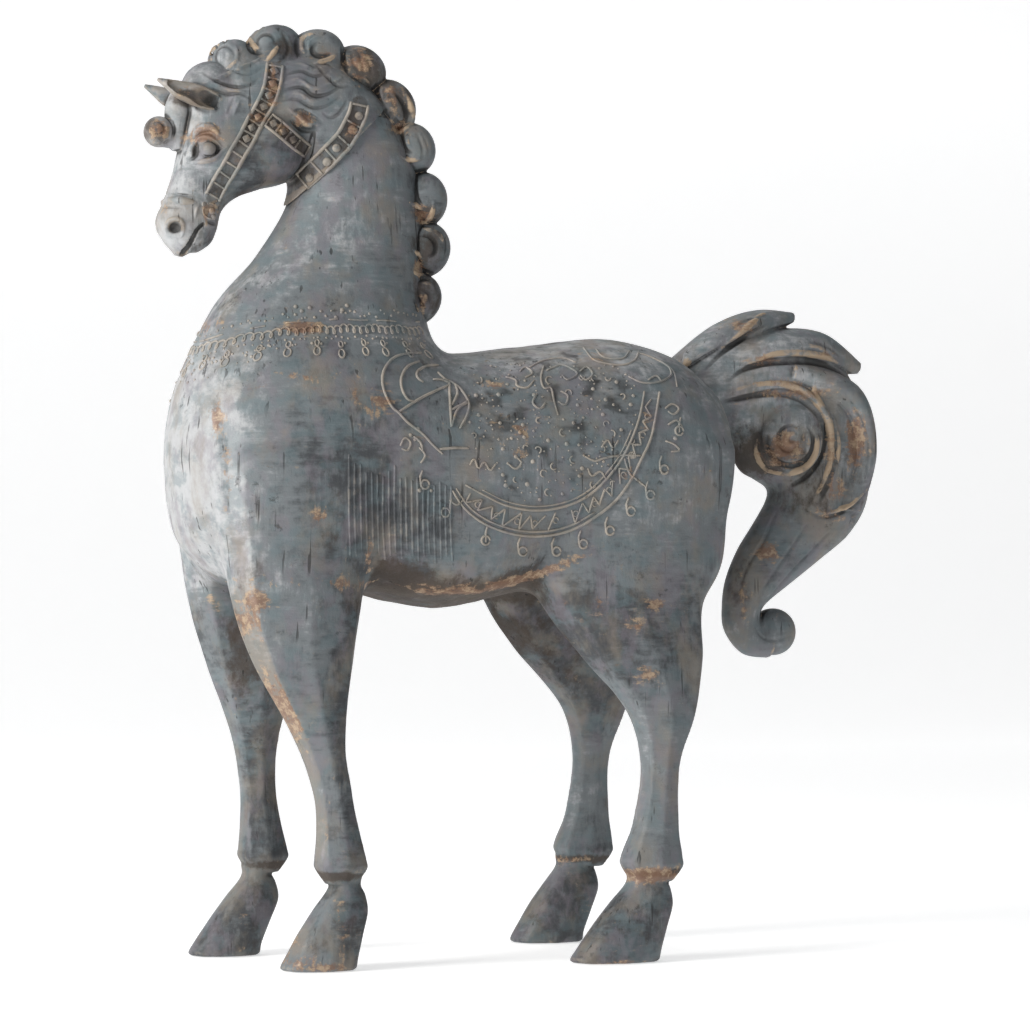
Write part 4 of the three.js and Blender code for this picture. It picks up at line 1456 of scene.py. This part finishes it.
# Places where the paint is rubbed through to copper and gold: x, z, radius in x, radius in z and strength.
RUBBED = [
    # the head, the bridle and the front of the collar
    (-226, 420, 12, 5, 1.3), (-252, 547, 7, 7, 1.2), (-225, 543, 11, 7, 1.6), (-238, 571, 10, 6, 0.5),
    (-160, 556, 9, 5, 1.4), (-181, 576, 5, 16, 1.3), (-190, 556, 8, 6, 1.1), (-174, 548, 8, 5, 0.9),
    (-199, 538, 4, 8, 0.7), (-221, 494, 7, 8, 1.1), (-250, 498, 8, 8, 0.5),
    # the mane and the top of the throat strap
    (-143, 601, 9, 5, 0.9), (-119, 594, 8, 14, 1.2), (-96, 575, 10, 12, 0.9), (-92, 554, 7, 5, 1.3),
    (-77, 496, 8, 7, 1.3), (-79, 461, 6, 7, 1.3), (-78, 437, 4, 6, 1.2), (-127, 551, 6, 6, 1.2),
    # the breast and the shoulder
    (-173, 383, 26, 3.5, 0.75), (-225, 357, 4, 11, 1.5), (-221, 318, 2.5, 28, 0.8), (-169, 416, 14, 5, 1.7),
    (-125, 366, 12, 9, 1.0), (-140, 374, 3, 16, 1.0), (-150, 250, 12, 4, 1.3), (-130, 268, 4, 14, 1.0),
    (-166, 292, 6, 6, 1.2), (-205, 238, 9, 9, 1.5),
    # the saddle cloth
    (-28, 352, 5, 8, 1.1), (-40, 380, 9, 5, 1.0), (-30, 334, 6, 6, 0.8), (8, 312, 5, 3, 0.6),
    (47, 322, 7, 6, 0.8), (62, 358, 6, 9, 0.7), (40, 403, 14, 5, 0.6), (-28, 357, 60, 40, 0.22),
    # the shins, the cuffs and the hooves
    (-158, 96, 2, 14, 0.7), (62, 57, 20, 5, 2.2), (-178, 24, 4, 12, 1.1), (-160, 3, 18, 3, 1.2),
    (80, 29, 4, 14, 1.0), (38, 0, 22, 3, 1.0), (-178, 6, 14, 7, 0.9), (-150, 30, 4, 20, 0.8),
    # the rump and the thigh
    (108, 326, 8, 3, 0.7), (67, 236, 10, 4, 1.2), (52, 222, 8, 6, 1.2), (28, 236, 7, 5, 0.8),
    (60, 190, 8, 6, 1.1), (20, 174, 3, 14, 0.6),
    # the tail
    (246, 350, 8, 20, 1.5), (232, 316, 10, 10, 1.0), (200, 383, 36, 5, 1.0), (166, 240, 4, 20, 0.8),
    (190, 344, 15, 12, 1.5), (182, 272, 9, 8, 1.4), (164, 430, 16, 6, 1.1), (226, 340, 5, 26, 0.9),
    (229, 300, 16, 6, 0.8), (176, 405, 14, 4, 1.1), (226, 411, 10, 3, 0.9), (190, 389, 30, 3, 0.9),
]

# Places where the paint is browned, in the same way. Those in the eye's front crease, under the jaw, under
# the belly and under the cuffs are painted shade.
BROWNED_AND_SHADED = [
    # the head: the knob, the ear's hollow, painted shade in the eye's front crease, the chin, and painted
    # shade under the jaw
    (-253, 546, 13, 12, 1.1), (-231, 568, 12, 5, 2.6), (-231, 532, 2.5, 5, 1.2), (-224, 470, 12, 14, 0.6),
    (-188, 503, 28, 9, 0.9),
    # the mane
    (-116, 594, 20, 19, 1.1), (-92, 571, 19, 20, 1.1), (-72, 472, 19, 18, 1.0), (-74, 441, 18, 16, 0.95),
    (-74, 497, 14, 8, 1.0), (-170, 604, 16, 9, 0.6),
    # the breast, the shoulder and the saddle cloth
    (-90, 395, 30, 20, 0.35), (-160, 280, 10, 26, 0.4), (-30, 350, 70, 45, 0.3),
    # painted shade under the belly and the thigh, and at the tops of the legs
    (-205, 240, 16, 26, 0.45), (-118, 236, 46, 10, 0.8), (-60, 233, 70, 10, 0.9), (20, 244, 50, 10, 0.9),
    (60, 205, 50, 40, 0.35), (96, 240, 30, 30, 0.45), (-150, 130, 8, 40, 0.3),
    # the cuffs, whose band under each flare is painted shade as well as brown, and the hooves
    (-150, 60.5, 34, 3.2, 1.3), (74, 58, 34, 3.2, 1.2), (-150, 25, 30, 30, 0.4), (50, 25, 30, 30, 0.3),
    (-190, 20, 30, 20, 0.25),
    # the tail
    (220, 330, 40, 50, 0.75), (172, 338, 24, 22, 1.2), (163, 250, 14, 40, 0.35),
]

# Places with a sandy wash, in the same way: muzzle, brow, back, belly, thigh, fore hooves, tail and foreleg.
SANDY = [
    (-250, 490, 22, 22, 1.2), (-222, 541, 13, 10, 2.6), (20, 408, 60, 16, 1.0), (-40, 245, 90, 14, 1.4),
    (60, 210, 50, 50, 0.3), (-160, 28, 26, 30, 1.0), (215, 330, 50, 60, 1.0), (-150, 150, 40, 60, 0.5),
]

# Painted shade in deep places, in the same way: nostril, eye corner and the pit of the ear.
SHADED_PITS = [
    (-243.2, 482.2, 3.6, 3.2, 1.3),
    (-230.5, 533, 1.8, 4.5, 0.9),
    (-220, 565, 5, 5, 0.9),
]

# How far the hollows that take painted shade, and the bare edges, are judged from the surface.
PROBE = 3.0

# The ellipse of the saddle cloth that is stained dark: its middle, half sizes and the stain's strength.
CLOTH_MIDDLE = (-2, 362)
CLOTH_HALF = (68, 72)
CLOTH_STAIN = 0.42

# The forelegs lie in front of this x.
FORE_END = -60


def spot(at, x, z, rx, rz):
    """A soft elliptical spot: 1 in its middle, falling off to 0."""
    return np.exp(-(((at[:, 0] - x) / rx) ** 2 + ((at[:, 2] - z) / rz) ** 2))


def spots_at(at, rows):
    """The strongest of soft elliptical spots at each point."""
    total = np.zeros(len(at))
    for *place, strength in rows:
        total = np.maximum(total, strength * spot(at, *place))
    return total


def band(values, middle, half):
    """A soft band: 1 in its middle, falling off to 0."""
    return np.exp(-(((values - middle) / half) ** 2))


def rubbed(at):
    """How far the paint is rubbed through: in the spots, and along the edge where the flank turns under."""
    x, y, z = at.T
    edge = np.interp(x, *zip(*FLANK_EDGE))
    along = np.interp(x, (-160, -140, -60, -30, 0, 25, 50), (0.5, 0.8, 1.1, 1.5, 1.1, 0.5, 0))
    line = along * band(z, edge - 1, 4.5) * (np.abs(y) > 55)
    far_legs = (y > 0) & (z < 262) & (x < 130)
    return np.maximum(spots_at(at, RUBBED), line) * np.where(far_legs, 0.35, 1.0)


def between_legs(at):
    """Where a leg's side is turned to the other leg of its pair and takes painted shade."""
    x, y, z = at.T
    return smoothstep(-np.abs(y), -66, -53) * smoothstep(-z, -262, -228) * (x < 130)


def browned_and_shaded(at):
    """How browned the paint is in the spots, and the painted shade between the legs, most between the
    forelegs.
    """
    x, _, z = at.T
    shaded = between_legs(at) * smoothstep(z, 150, 205) * smoothstep(x, -200, -186)
    return np.maximum(spots_at(at, BROWNED_AND_SHADED), np.where(x < FORE_END, 1.0, 0.5) * shaded)


def light_and_tone(at):
    """Painted light and shade, with the paint's own broad unevenness, from 0, dark, to 1, pale: painted light
    in front, and painted shade on flank and cheek.
    """
    light = np.full(len(at), 0.46)
    for *place, change in LIGHT_AND_SHADE_SPOTS:
        light += change * spot(at, *place)
    x, _, z = at.T
    # Painted shade under the belly and between the legs.
    under = smoothstep(-z, -250, -240) * smoothstep(x, -165, -140) * smoothstep(-x, -60, -20)
    light -= 0.30 * between_legs(at) + 0.30 * under
    return np.clip(light + 0.07 * wobble(at, 60, 21) + 0.06 * wobble(at, 26, 22), 0, 1)


def strap_bed(at, share):
    """How far inside that share of the straps' width a point lies, from 0 to 1: where shade is painted in the
    straps' beds.
    """
    x, y, z = at.T
    inside = np.zeros(len(at))
    # The points moved along the sight line to the plane that the straps are drawn on.
    back = HAIR_PLANE - np.abs(y)
    seen_x, seen_z = x - back * 0.29, z - back * 0.15
    for middle, half in ((CHEEK_STRAP, 5.0), (BROW_STRAP, 4.4), (THROAT_STRAP, 6.0)):
        line = even(middle, 2.0)
        near = np.min(np.hypot(seen_x[:, None] - line[:, 0], seen_z[:, None] - line[:, 1]), axis=1)
        edge = half * share
        inside = np.maximum(inside, smoothstep(-near, -edge - 0.8, -edge + 0.6))
    return inside * (z > 480) * (np.abs(y) > 9)


def shaded_underside(at, out):
    """Where the belly and the tops of the legs face down, between the breast and the rump, and take painted
    shade.
    """
    x, _, z = at.T
    return smoothstep(-out[:, 2], 0.35, 0.75) * smoothstep(z, 190, 215) * smoothstep(x, -190, -150)


def cloth_stain(at):
    """The patches of dark stain in the saddle cloth."""
    x, _, z = at.T
    away = np.hypot((x - CLOTH_MIDDLE[0]) / CLOTH_HALF[0], (z - CLOTH_MIDDLE[1]) / CLOTH_HALF[1])
    patches = smoothstep(wobble(at, 8, 31) + 0.5 * wobble(at, 3.5, 32), 0.05, 0.6)
    return CLOTH_STAIN * smoothstep(-away, -1.0, -0.8) * patches


def body_notes(at, out, notes):
    """The stained saddle cloth, and painted shade in umber under the belly, which stops where the flank turns
    up.
    """
    x, y, z = at.T
    notes["hollow"] = np.maximum(notes["hollow"], cloth_stain(at))
    outer = smoothstep(np.abs(y), 58, 70) * smoothstep(z, 205, 225) * (x > -120)
    # Painted shade where the belly faces down: umber, and darker.
    down = shaded_underside(at, out)
    notes["brown_and_shade"] = np.maximum(notes["brown_and_shade"] * (1 - 0.75 * outer), 1.05 * down)
    notes["light_and_tone"] -= 0.35 * down


def lit_front_notes(at, out, notes):
    """Painted light on the breast and on the fronts of the legs, which face the key light, and the near
    foreleg's rubbed and sandy front.
    """
    x, y, z = at.T
    fore = (x < FORE_END).astype(float)
    near_fore = fore * (y < 0)
    legs = smoothstep(-z, -262, -235) * smoothstep(z, 66, 80)
    facing = smoothstep(-out[:, 0], 0.42, 0.62) * legs
    breast = smoothstep(-out[:, 0], 0.50, 0.66) * smoothstep(z, 225, 250) * smoothstep(-z, -400, -370) * fore
    bare = near_fore * facing * (band(z, 226, 12) + 1.3 * band(z, 170, 24))
    notes["gold"] = np.maximum(notes["gold"], bare)
    # Painted light: paler where a front faces the key light, most on the breast.
    notes["light_and_tone"] += (0.04 + 0.06 * fore) * facing + 0.24 * breast
    notes["sand"] += 0.14 * near_fore * facing


def paint_notes(name, field, at, out):
    """What the paint reads at each point: how much shade is painted in its hollows, how bare, browned and
    shaded, gold, lit and pale, and sandy it is.
    """
    # Painted shade in the hollows, where the wood closes in round a point.
    dark = np.clip(1 - field.sample(at + out * PROBE) / PROBE, -1, 1)
    bare = np.clip(1 + field.sample(at - out * PROBE) / PROBE, -1, 1)
    notes = {
        "hollow": np.maximum(dark, spots_at(at, SHADED_PITS)),
        "edge": bare * (1.3 if name == "horse_tail" else 1.0),
        "brown_and_shade": browned_and_shaded(at),
        "gold": rubbed(at),
        "light_and_tone": light_and_tone(at),
        "sand": 0.10 * spots_at(at, SANDY),
    }
    if name == "horse_body":
        body_notes(at, out, notes)
    if name == "horse_head":
        # Painted shade in the beds between the straps' rails.
        notes["brown_and_shade"] = np.maximum(notes["brown_and_shade"], 0.9 * strap_bed(at, 1.0))
    lit_front_notes(at, out, notes)
    return notes


def tool_marks(obj, depth):
    """Moves the surface in and out by shallow tool marks, which fade out under the hooves."""
    at, out = positions(obj), normals(obj)
    marks = 0.6 * wobble(at, 22, 3, (1, 1, 1.8)) + 0.4 * wobble(at, 9, 5, (1, 1, 2.2))
    lifted = np.clip(at[:, 2] / 6, 0, 1)
    moved = at + out * (depth * marks * lifted)[:, None]
    obj.data.vertices.foreach_set("co", to_frame(moved).astype(np.float32).ravel())
    obj.data.update()


def sculpture(name, field, carving):
    """The field's surface as an object, with tool marks of that depth and the notes that its paint reads."""
    points, quads = field.mesh()
    obj = new_mesh(name, to_frame(points), quads)
    tool_marks(obj, carving)
    simplify(obj, TRIANGLES[name])
    for kind, values in paint_notes(name, field, positions(obj), normals(obj)).items():
        note(obj, kind, values)
    return obj


# ------------------------------------------------------------------ paint


class Nodes:
    """Short ways to place and link shader nodes."""

    def __init__(self, material):
        self.tree = material.node_tree
        self.tree.nodes.clear()

    def fill(self, node, values):
        """Links or sets a node's input sockets."""
        for socket, value in values.items():
            if hasattr(value, "node"):
                self.tree.links.new(value, node.inputs[socket])
            else:
                node.inputs[socket].default_value = value
        return node

    def add(self, kind, values, **settings):
        """A node with its settings and inputs."""
        node = self.tree.nodes.new(kind)
        for name, value in settings.items():
            setattr(node, name, value)
        return self.fill(node, values)

    def noise(self, vector, scale, detail=4.0, roughness=0.55, stretch=None):
        """Noise, whose grain is as many times finer along each axis as stretch says."""
        if stretch:
            vector = self.add("ShaderNodeMapping", {"Vector": vector, "Scale": stretch}).outputs[0]
        values = {"Vector": vector, "Scale": scale, "Detail": detail, "Roughness": roughness}
        return self.add("ShaderNodeTexNoise", values).outputs["Fac"]

    def math(self, operation, a, b):
        """Two values added, multiplied or compared."""
        return self.add("ShaderNodeMath", {0: a, 1: b}, operation=operation).outputs[0]

    def ramp(self, value, low, high, to_low=0.0, to_high=1.0):
        """A value taken smoothly from one range to another."""
        values = {"Value": value, "From Min": low, "From Max": high, "To Min": to_low, "To Max": to_high}
        return self.add("ShaderNodeMapRange", values, interpolation_type="SMOOTHSTEP").outputs[0]

    def shift(self, value, marks):
        """A value raised and lowered by marks: each a texture, its low and high ends, and what they add."""
        for texture, low, high, at_low, at_high in marks:
            value = self.math("ADD", value, self.ramp(texture, low, high, at_low, at_high))
        return value

    def mix(self, factor, a, b):
        """Two colours mixed."""
        return self.add("ShaderNodeMix", {0: factor, 6: a, 7: b}, data_type="RGBA").outputs[2]

    def note(self, name):
        """A number stored at the vertices."""
        return self.add("ShaderNodeAttribute", {}, attribute_name=name).outputs["Fac"]


def colour(red, green, blue):
    """A colour with full alpha."""
    return (red, green, blue, 1.0)


# The grey paint runs from its darkest, in painted shade, to its palest, in painted light. The near black
# stands for the bare dark wood and for painted shade in the hollows, and the dark umber for browned paint and
# for painted shade under the belly and the jaw and between the legs.
PALE = colour(0.415, 0.422, 0.430)
GREY = colour(0.153, 0.170, 0.179)
TEAL = colour(0.110, 0.160, 0.175)
SLATE = colour(0.046, 0.050, 0.055)
PLUM = colour(0.185, 0.160, 0.185)
SAND = colour(0.235, 0.195, 0.150)
UMBER_AND_SHADE = colour(0.055, 0.040, 0.030)
DARK_WOOD_AND_SHADE = colour(0.014, 0.013, 0.012)
TAN = colour(0.37, 0.31, 0.24)
COPPER = colour(0.21, 0.115, 0.070)
GOLD = colour(0.43, 0.31, 0.20)


def brush_marks(n, place):
    """The paint's textures: blotches, bristle marks, which turn from upright to level, and fine grain."""
    upright = n.noise(place, 330, 4, 0.6, (1.0, 1.0, 0.16))
    level = n.noise(place, 330, 4, 0.6, (0.16, 0.25, 1.0))
    turn = n.ramp(n.noise(place, 30, 2), 0.42, 0.58)
    blotch = n.noise(place, 110, 5, 0.6, (0.8, 0.8, 1.0))
    return blotch, n.mix(turn, upright, level), n.noise(place, 800, 3, 0.7)


def grey_paint(n, place, marks, lift):
    """Blue-grey, from slate in painted shade to pale in painted light at each point, broken by the brush
    marks.
    """
    blotch, bristle, fine = marks
    light = n.shift(n.note("light_and_tone"), [
        (n.noise(place, 18, 3), 0.35, 0.65, -0.06, 0.06),
        (blotch, 0.33, 0.67, -0.15, 0.15),
        (bristle, 0.30, 0.70, -0.10, 0.10),
        (fine, 0.3, 0.7, -0.035, 0.035),
    ])
    light = n.math("ADD", light, lift)
    paint = n.mix(n.ramp(light, 0.0, 0.5), SLATE, GREY)
    return n.mix(n.ramp(light, 0.5, 1.0), paint, PALE)


def washed(n, place, paint):
    """Cool, violet and sandy washes that lie over one another."""
    teal = n.noise(place, 62, 5, 0.6, (0.7, 0.9, 1.2))
    paint = n.mix(n.ramp(teal, 0.47, 0.62, 0.0, 0.45), paint, TEAL)
    plum = n.noise(place, 52, 5, 0.6, (1.2, 1.0, 0.7))
    paint = n.mix(n.ramp(plum, 0.48, 0.64, 0.0, 0.45), paint, PLUM)
    sand = n.math("ADD", n.noise(place, 38, 5, 0.65, (0.9, 1.1, 0.6)), n.note("sand"))
    return n.mix(n.ramp(sand, 0.47, 0.72, 0.0, 0.55), paint, SAND)


def glazed_and_shaded(n, brown_and_shade, blotch, paint):
    """Umber glaze, with painted shade in umber, and painted shade in the hollows."""
    paint = n.mix(n.ramp(brown_and_shade, 0.30, 1.00, 0.0, 0.82), paint, UMBER_AND_SHADE)
    hollow = n.shift(n.note("hollow"), [(blotch, 0.35, 0.65, -0.08, 0.08)])
    return n.mix(n.ramp(hollow, 0.05, 0.60, 0.0, 0.85), paint, DARK_WOOD_AND_SHADE)


def thinned(n, place, smudge, scratched, paint):
    """Smudges of the dark wood where the paint is thin, and thin upright scratches, both in patches."""
    thin = n.ramp(n.noise(place, 20, 4, 0.6), 0.50, 0.66)
    smudged = n.math("MULTIPLY", n.ramp(smudge, 0.55, 0.66), thin)
    paint = n.mix(n.math("MULTIPLY", smudged, 0.65), paint, DARK_WOOD_AND_SHADE)
    return n.mix(n.math("MULTIPLY", scratched, 0.7), paint, DARK_WOOD_AND_SHADE)


def gold_rub(n, place, bristle, smudge):
    """How far the paint is rubbed to copper and gold: in its places, broken by brush marks, and in flecks."""
    patch = n.shift(n.note("gold"), [(bristle, 0.3, 0.7, -0.35, 0.35), (smudge, 0.3, 0.7, -0.45, 0.45)])
    stray = n.noise(place, 60, 6, 0.7, (0.7, 0.8, 1.0))
    return n.math("MAXIMUM", n.ramp(patch, 0.50, 1.10, 0.0, 0.80), n.ramp(stray, 0.64, 0.74, 0.0, 0.40))


def old_paint(name, lift=0.0, wear=0.5, tan=0.0, gilt=0.0):
    """Brushed blue-grey paint over dark wood, with light and shade painted into it, worn to tan at the edges
    and rubbed to copper in places.
    lift makes it paler, tan warmer, gilt the bare edges golden, and wear sets how much of the edges is bare."""
    material = bpy.data.materials.new(name)
    material.use_nodes = True
    n = Nodes(material)
    place = n.add("ShaderNodeTexCoord", {}).outputs["Object"]
    marks = blotch, bristle, fine = brush_marks(n, place)
    smudge = n.noise(place, 150, 5, 0.75, (0.8, 0.8, 1.0))
    scratch = n.noise(place, 300, 2, 0.5, (1.0, 1.0, 0.045))
    scratched = n.math("MULTIPLY", n.ramp(scratch, 0.645, 0.70), n.ramp(n.noise(place, 24, 3), 0.44, 0.58))
    # Browning and painted shade are thick in their own places and thin in flecks everywhere.
    fleck = n.noise(place, 80, 6, 0.7, (0.9, 0.9, 0.6))
    brown_and_shade = n.shift(n.note("brown_and_shade"), [(fleck, 0.35, 0.75, -0.30, 0.50)])
    paint = n.mix(tan, grey_paint(n, place, marks, lift), TAN)
    paint = glazed_and_shaded(n, brown_and_shade, blotch, washed(n, place, paint))
    paint = thinned(n, place, smudge, scratched, paint)
    edge = n.shift(n.note("edge"), [(blotch, 0.35, 0.65, -0.25, 0.12)])
    worn = n.math("MULTIPLY", n.ramp(edge, 0.30, 0.66), wear)
    paint = n.mix(worn, paint, n.mix(gilt, TAN, GOLD))
    rub = gold_rub(n, place, bristle, smudge)
    paint = n.mix(rub, paint, n.mix(n.ramp(smudge, 0.47, 0.63), COPPER, GOLD))
    height = n.math("ADD", n.math("MULTIPLY", bristle, 0.5), n.math("MULTIPLY", fine, 0.3))
    height = n.math("ADD", height, n.math("MULTIPLY", blotch, 0.9))
    height = n.math("SUBTRACT", height, n.math("MULTIPLY", scratched, 0.5))
    bump = n.add("ShaderNodeBump", {"Strength": 0.45, "Distance": 0.0010, "Height": height}).outputs[0]
    rough = n.math("ADD", n.ramp(fine, 0.3, 0.7, 0.54, 0.72), n.math("MULTIPLY", rub, -0.12))
    rough = n.math("ADD", rough, n.ramp(brown_and_shade, 0.30, 1.00, 0.0, 0.25))
    shader = n.add("ShaderNodeBsdfPrincipled", {
        "Base Color": paint, "Roughness": rough, "Normal": bump, "Metallic": n.math("MULTIPLY", rub, 0.25),
    })
    n.add("ShaderNodeOutputMaterial", {"Surface": shader.outputs[0]})
    return material


# ------------------------------------------------------------------ the horse


def surface_tree(*objects):
    """One tree of the surfaces of these objects, in the sculpting frame."""
    points, faces, count = [], [], 0
    for obj in objects:
        at = positions(obj)
        points.append(at)
        faces += [[v + count for v in p.vertices] for p in obj.data.polygons]
        count += len(at)
    return BVHTree.FromPolygons([Vector(p) for p in np.concatenate(points)], faces)


# Each sculpture, and how deep its tool marks are.
SCULPTURES = {
    "horse_body": (sculpt_body, 0.55),
    "horse_head": (sculpt_head, 0.18),
    "horse_mane": (sculpt_mane, 0.25),
    "horse_tail": (sculpt_tail, 0.3),
}
sculpted = {name: sculpture(name, sculpt(), depth) for name, (sculpt, depth) in SCULPTURES.items()}

body_tree = surface_tree(sculpted["horse_body"])
head_tree = surface_tree(sculpted["horse_head"], sculpted["horse_body"])
relief_pieces = [saddle_cloth(body_tree), flank_flutes(body_tree), collar(body_tree), bridle(head_tree)]

paint = old_paint("old_paint", wear=0.40, gilt=0.3)
mane_paint = old_paint("mane_paint", lift=0.02, wear=0.95, gilt=0.7)
line_paint = old_paint("line_paint", lift=0.16, wear=0.8, tan=0.55)
for name, obj in sculpted.items():
    obj.data.materials.append(mane_paint if name in ("horse_mane", "horse_tail") else paint)
for obj in relief_pieces:
    obj.data.materials.append(paint if obj.name == "flank_flutes" else line_paint)

for obj in [*sculpted.values(), *relief_pieces]:
    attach(obj, "root")
for obj in sculpted.values():
    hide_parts("horse")


# ------------------------------------------------------------------ floor, light and camera

CAMERA_TARGET = Vector((-4.3, 0.0, 297.0)) * MM
CAMERA_DISTANCE = 2.5
CAMERA_AZIMUTH = math.radians(-21.0)
CAMERA_ELEVATION = math.radians(-1.5)
CAMERA_LENS = 128.5
SENSOR_WIDTH = 36.0


def backdrop():
    """A pale floor that curves up into a wall behind the horse, in metres."""
    depth, rise, bend, half, front = 4.8, 5.0, 1.4, 6.5, -5.0
    below_hooves = 0.0005
    profile = [(front, 0.0), (depth - bend, 0.0)]
    for angle in np.radians(np.linspace(0, 90, 17)[1:]):
        profile.append((depth - bend + bend * math.sin(angle), bend - bend * math.cos(angle)))
    profile.append((depth, rise))
    points = [(side * half, y, z - below_hooves) for y, z in profile for side in (-1, 1)]
    faces = [(2 * k, 2 * k + 1, 2 * k + 3, 2 * k + 2) for k in range(len(profile) - 1)]
    obj = new_mesh("backdrop", np.array(points), faces)
    material = bpy.data.materials.new("backdrop_paper")
    material.use_nodes = True
    shader = material.node_tree.nodes["Principled BSDF"]
    shader.inputs["Base Color"].default_value = colour(0.90, 0.90, 0.90)
    shader.inputs["Roughness"].default_value = 0.9
    shader.inputs["Emission Color"].default_value = colour(1.0, 1.0, 1.0)
    shader.inputs["Emission Strength"].default_value = 0.52
    obj.data.materials.append(material)


def area_light(name, place, size, watts, tint=(1, 1, 1)):
    """A rectangular light that faces the horse."""
    data = bpy.data.lights.new(name, "AREA")
    data.shape = "RECTANGLE"
    data.size, data.size_y = size
    data.energy = watts
    data.color = tint
    obj = bpy.data.objects.new(name, data)
    obj.location = place
    obj.rotation_euler = (CAMERA_TARGET - Vector(place)).to_track_quat("-Z", "Y").to_euler()
    bpy.context.scene.collection.objects.link(obj)


def studio_world(strength):
    """A faint cool light from everywhere."""
    world = bpy.data.worlds.new("studio")
    world.use_nodes = True
    background = world.node_tree.nodes["Background"]
    background.inputs["Color"].default_value = colour(0.95, 0.97, 1.0)
    background.inputs["Strength"].default_value = strength
    bpy.context.scene.world = world


def place_camera():
    """The camera looks a little up at the left flank, from the front quarter."""
    data = bpy.data.cameras.new("camera")
    data.lens = CAMERA_LENS
    data.sensor_width = SENSOR_WIDTH
    camera = bpy.data.objects.new("camera", data)
    back = Vector((
        math.sin(CAMERA_AZIMUTH) * math.cos(CAMERA_ELEVATION),
        -math.cos(CAMERA_AZIMUTH) * math.cos(CAMERA_ELEVATION),
        math.sin(CAMERA_ELEVATION),
    ))
    camera.location = CAMERA_TARGET + back * CAMERA_DISTANCE
    camera.rotation_euler = (-back).to_track_quat("-Z", "Y").to_euler()
    bpy.context.scene.collection.objects.link(camera)
    bpy.context.scene.camera = camera


backdrop()
area_light("key", (-2.6, -0.75, 1.15), (1.1, 1.3), 75, (1.0, 0.99, 0.97))
area_light("fill", (1.2, -2.6, 1.4), (2.0, 2.0), 4, (0.95, 0.98, 1.0))
area_light("top", (0.2, 0.3, 2.6), (1.8, 1.8), 12)
studio_world(0.19)
place_camera()
bpy.context.scene.view_settings.view_transform = "Standard"
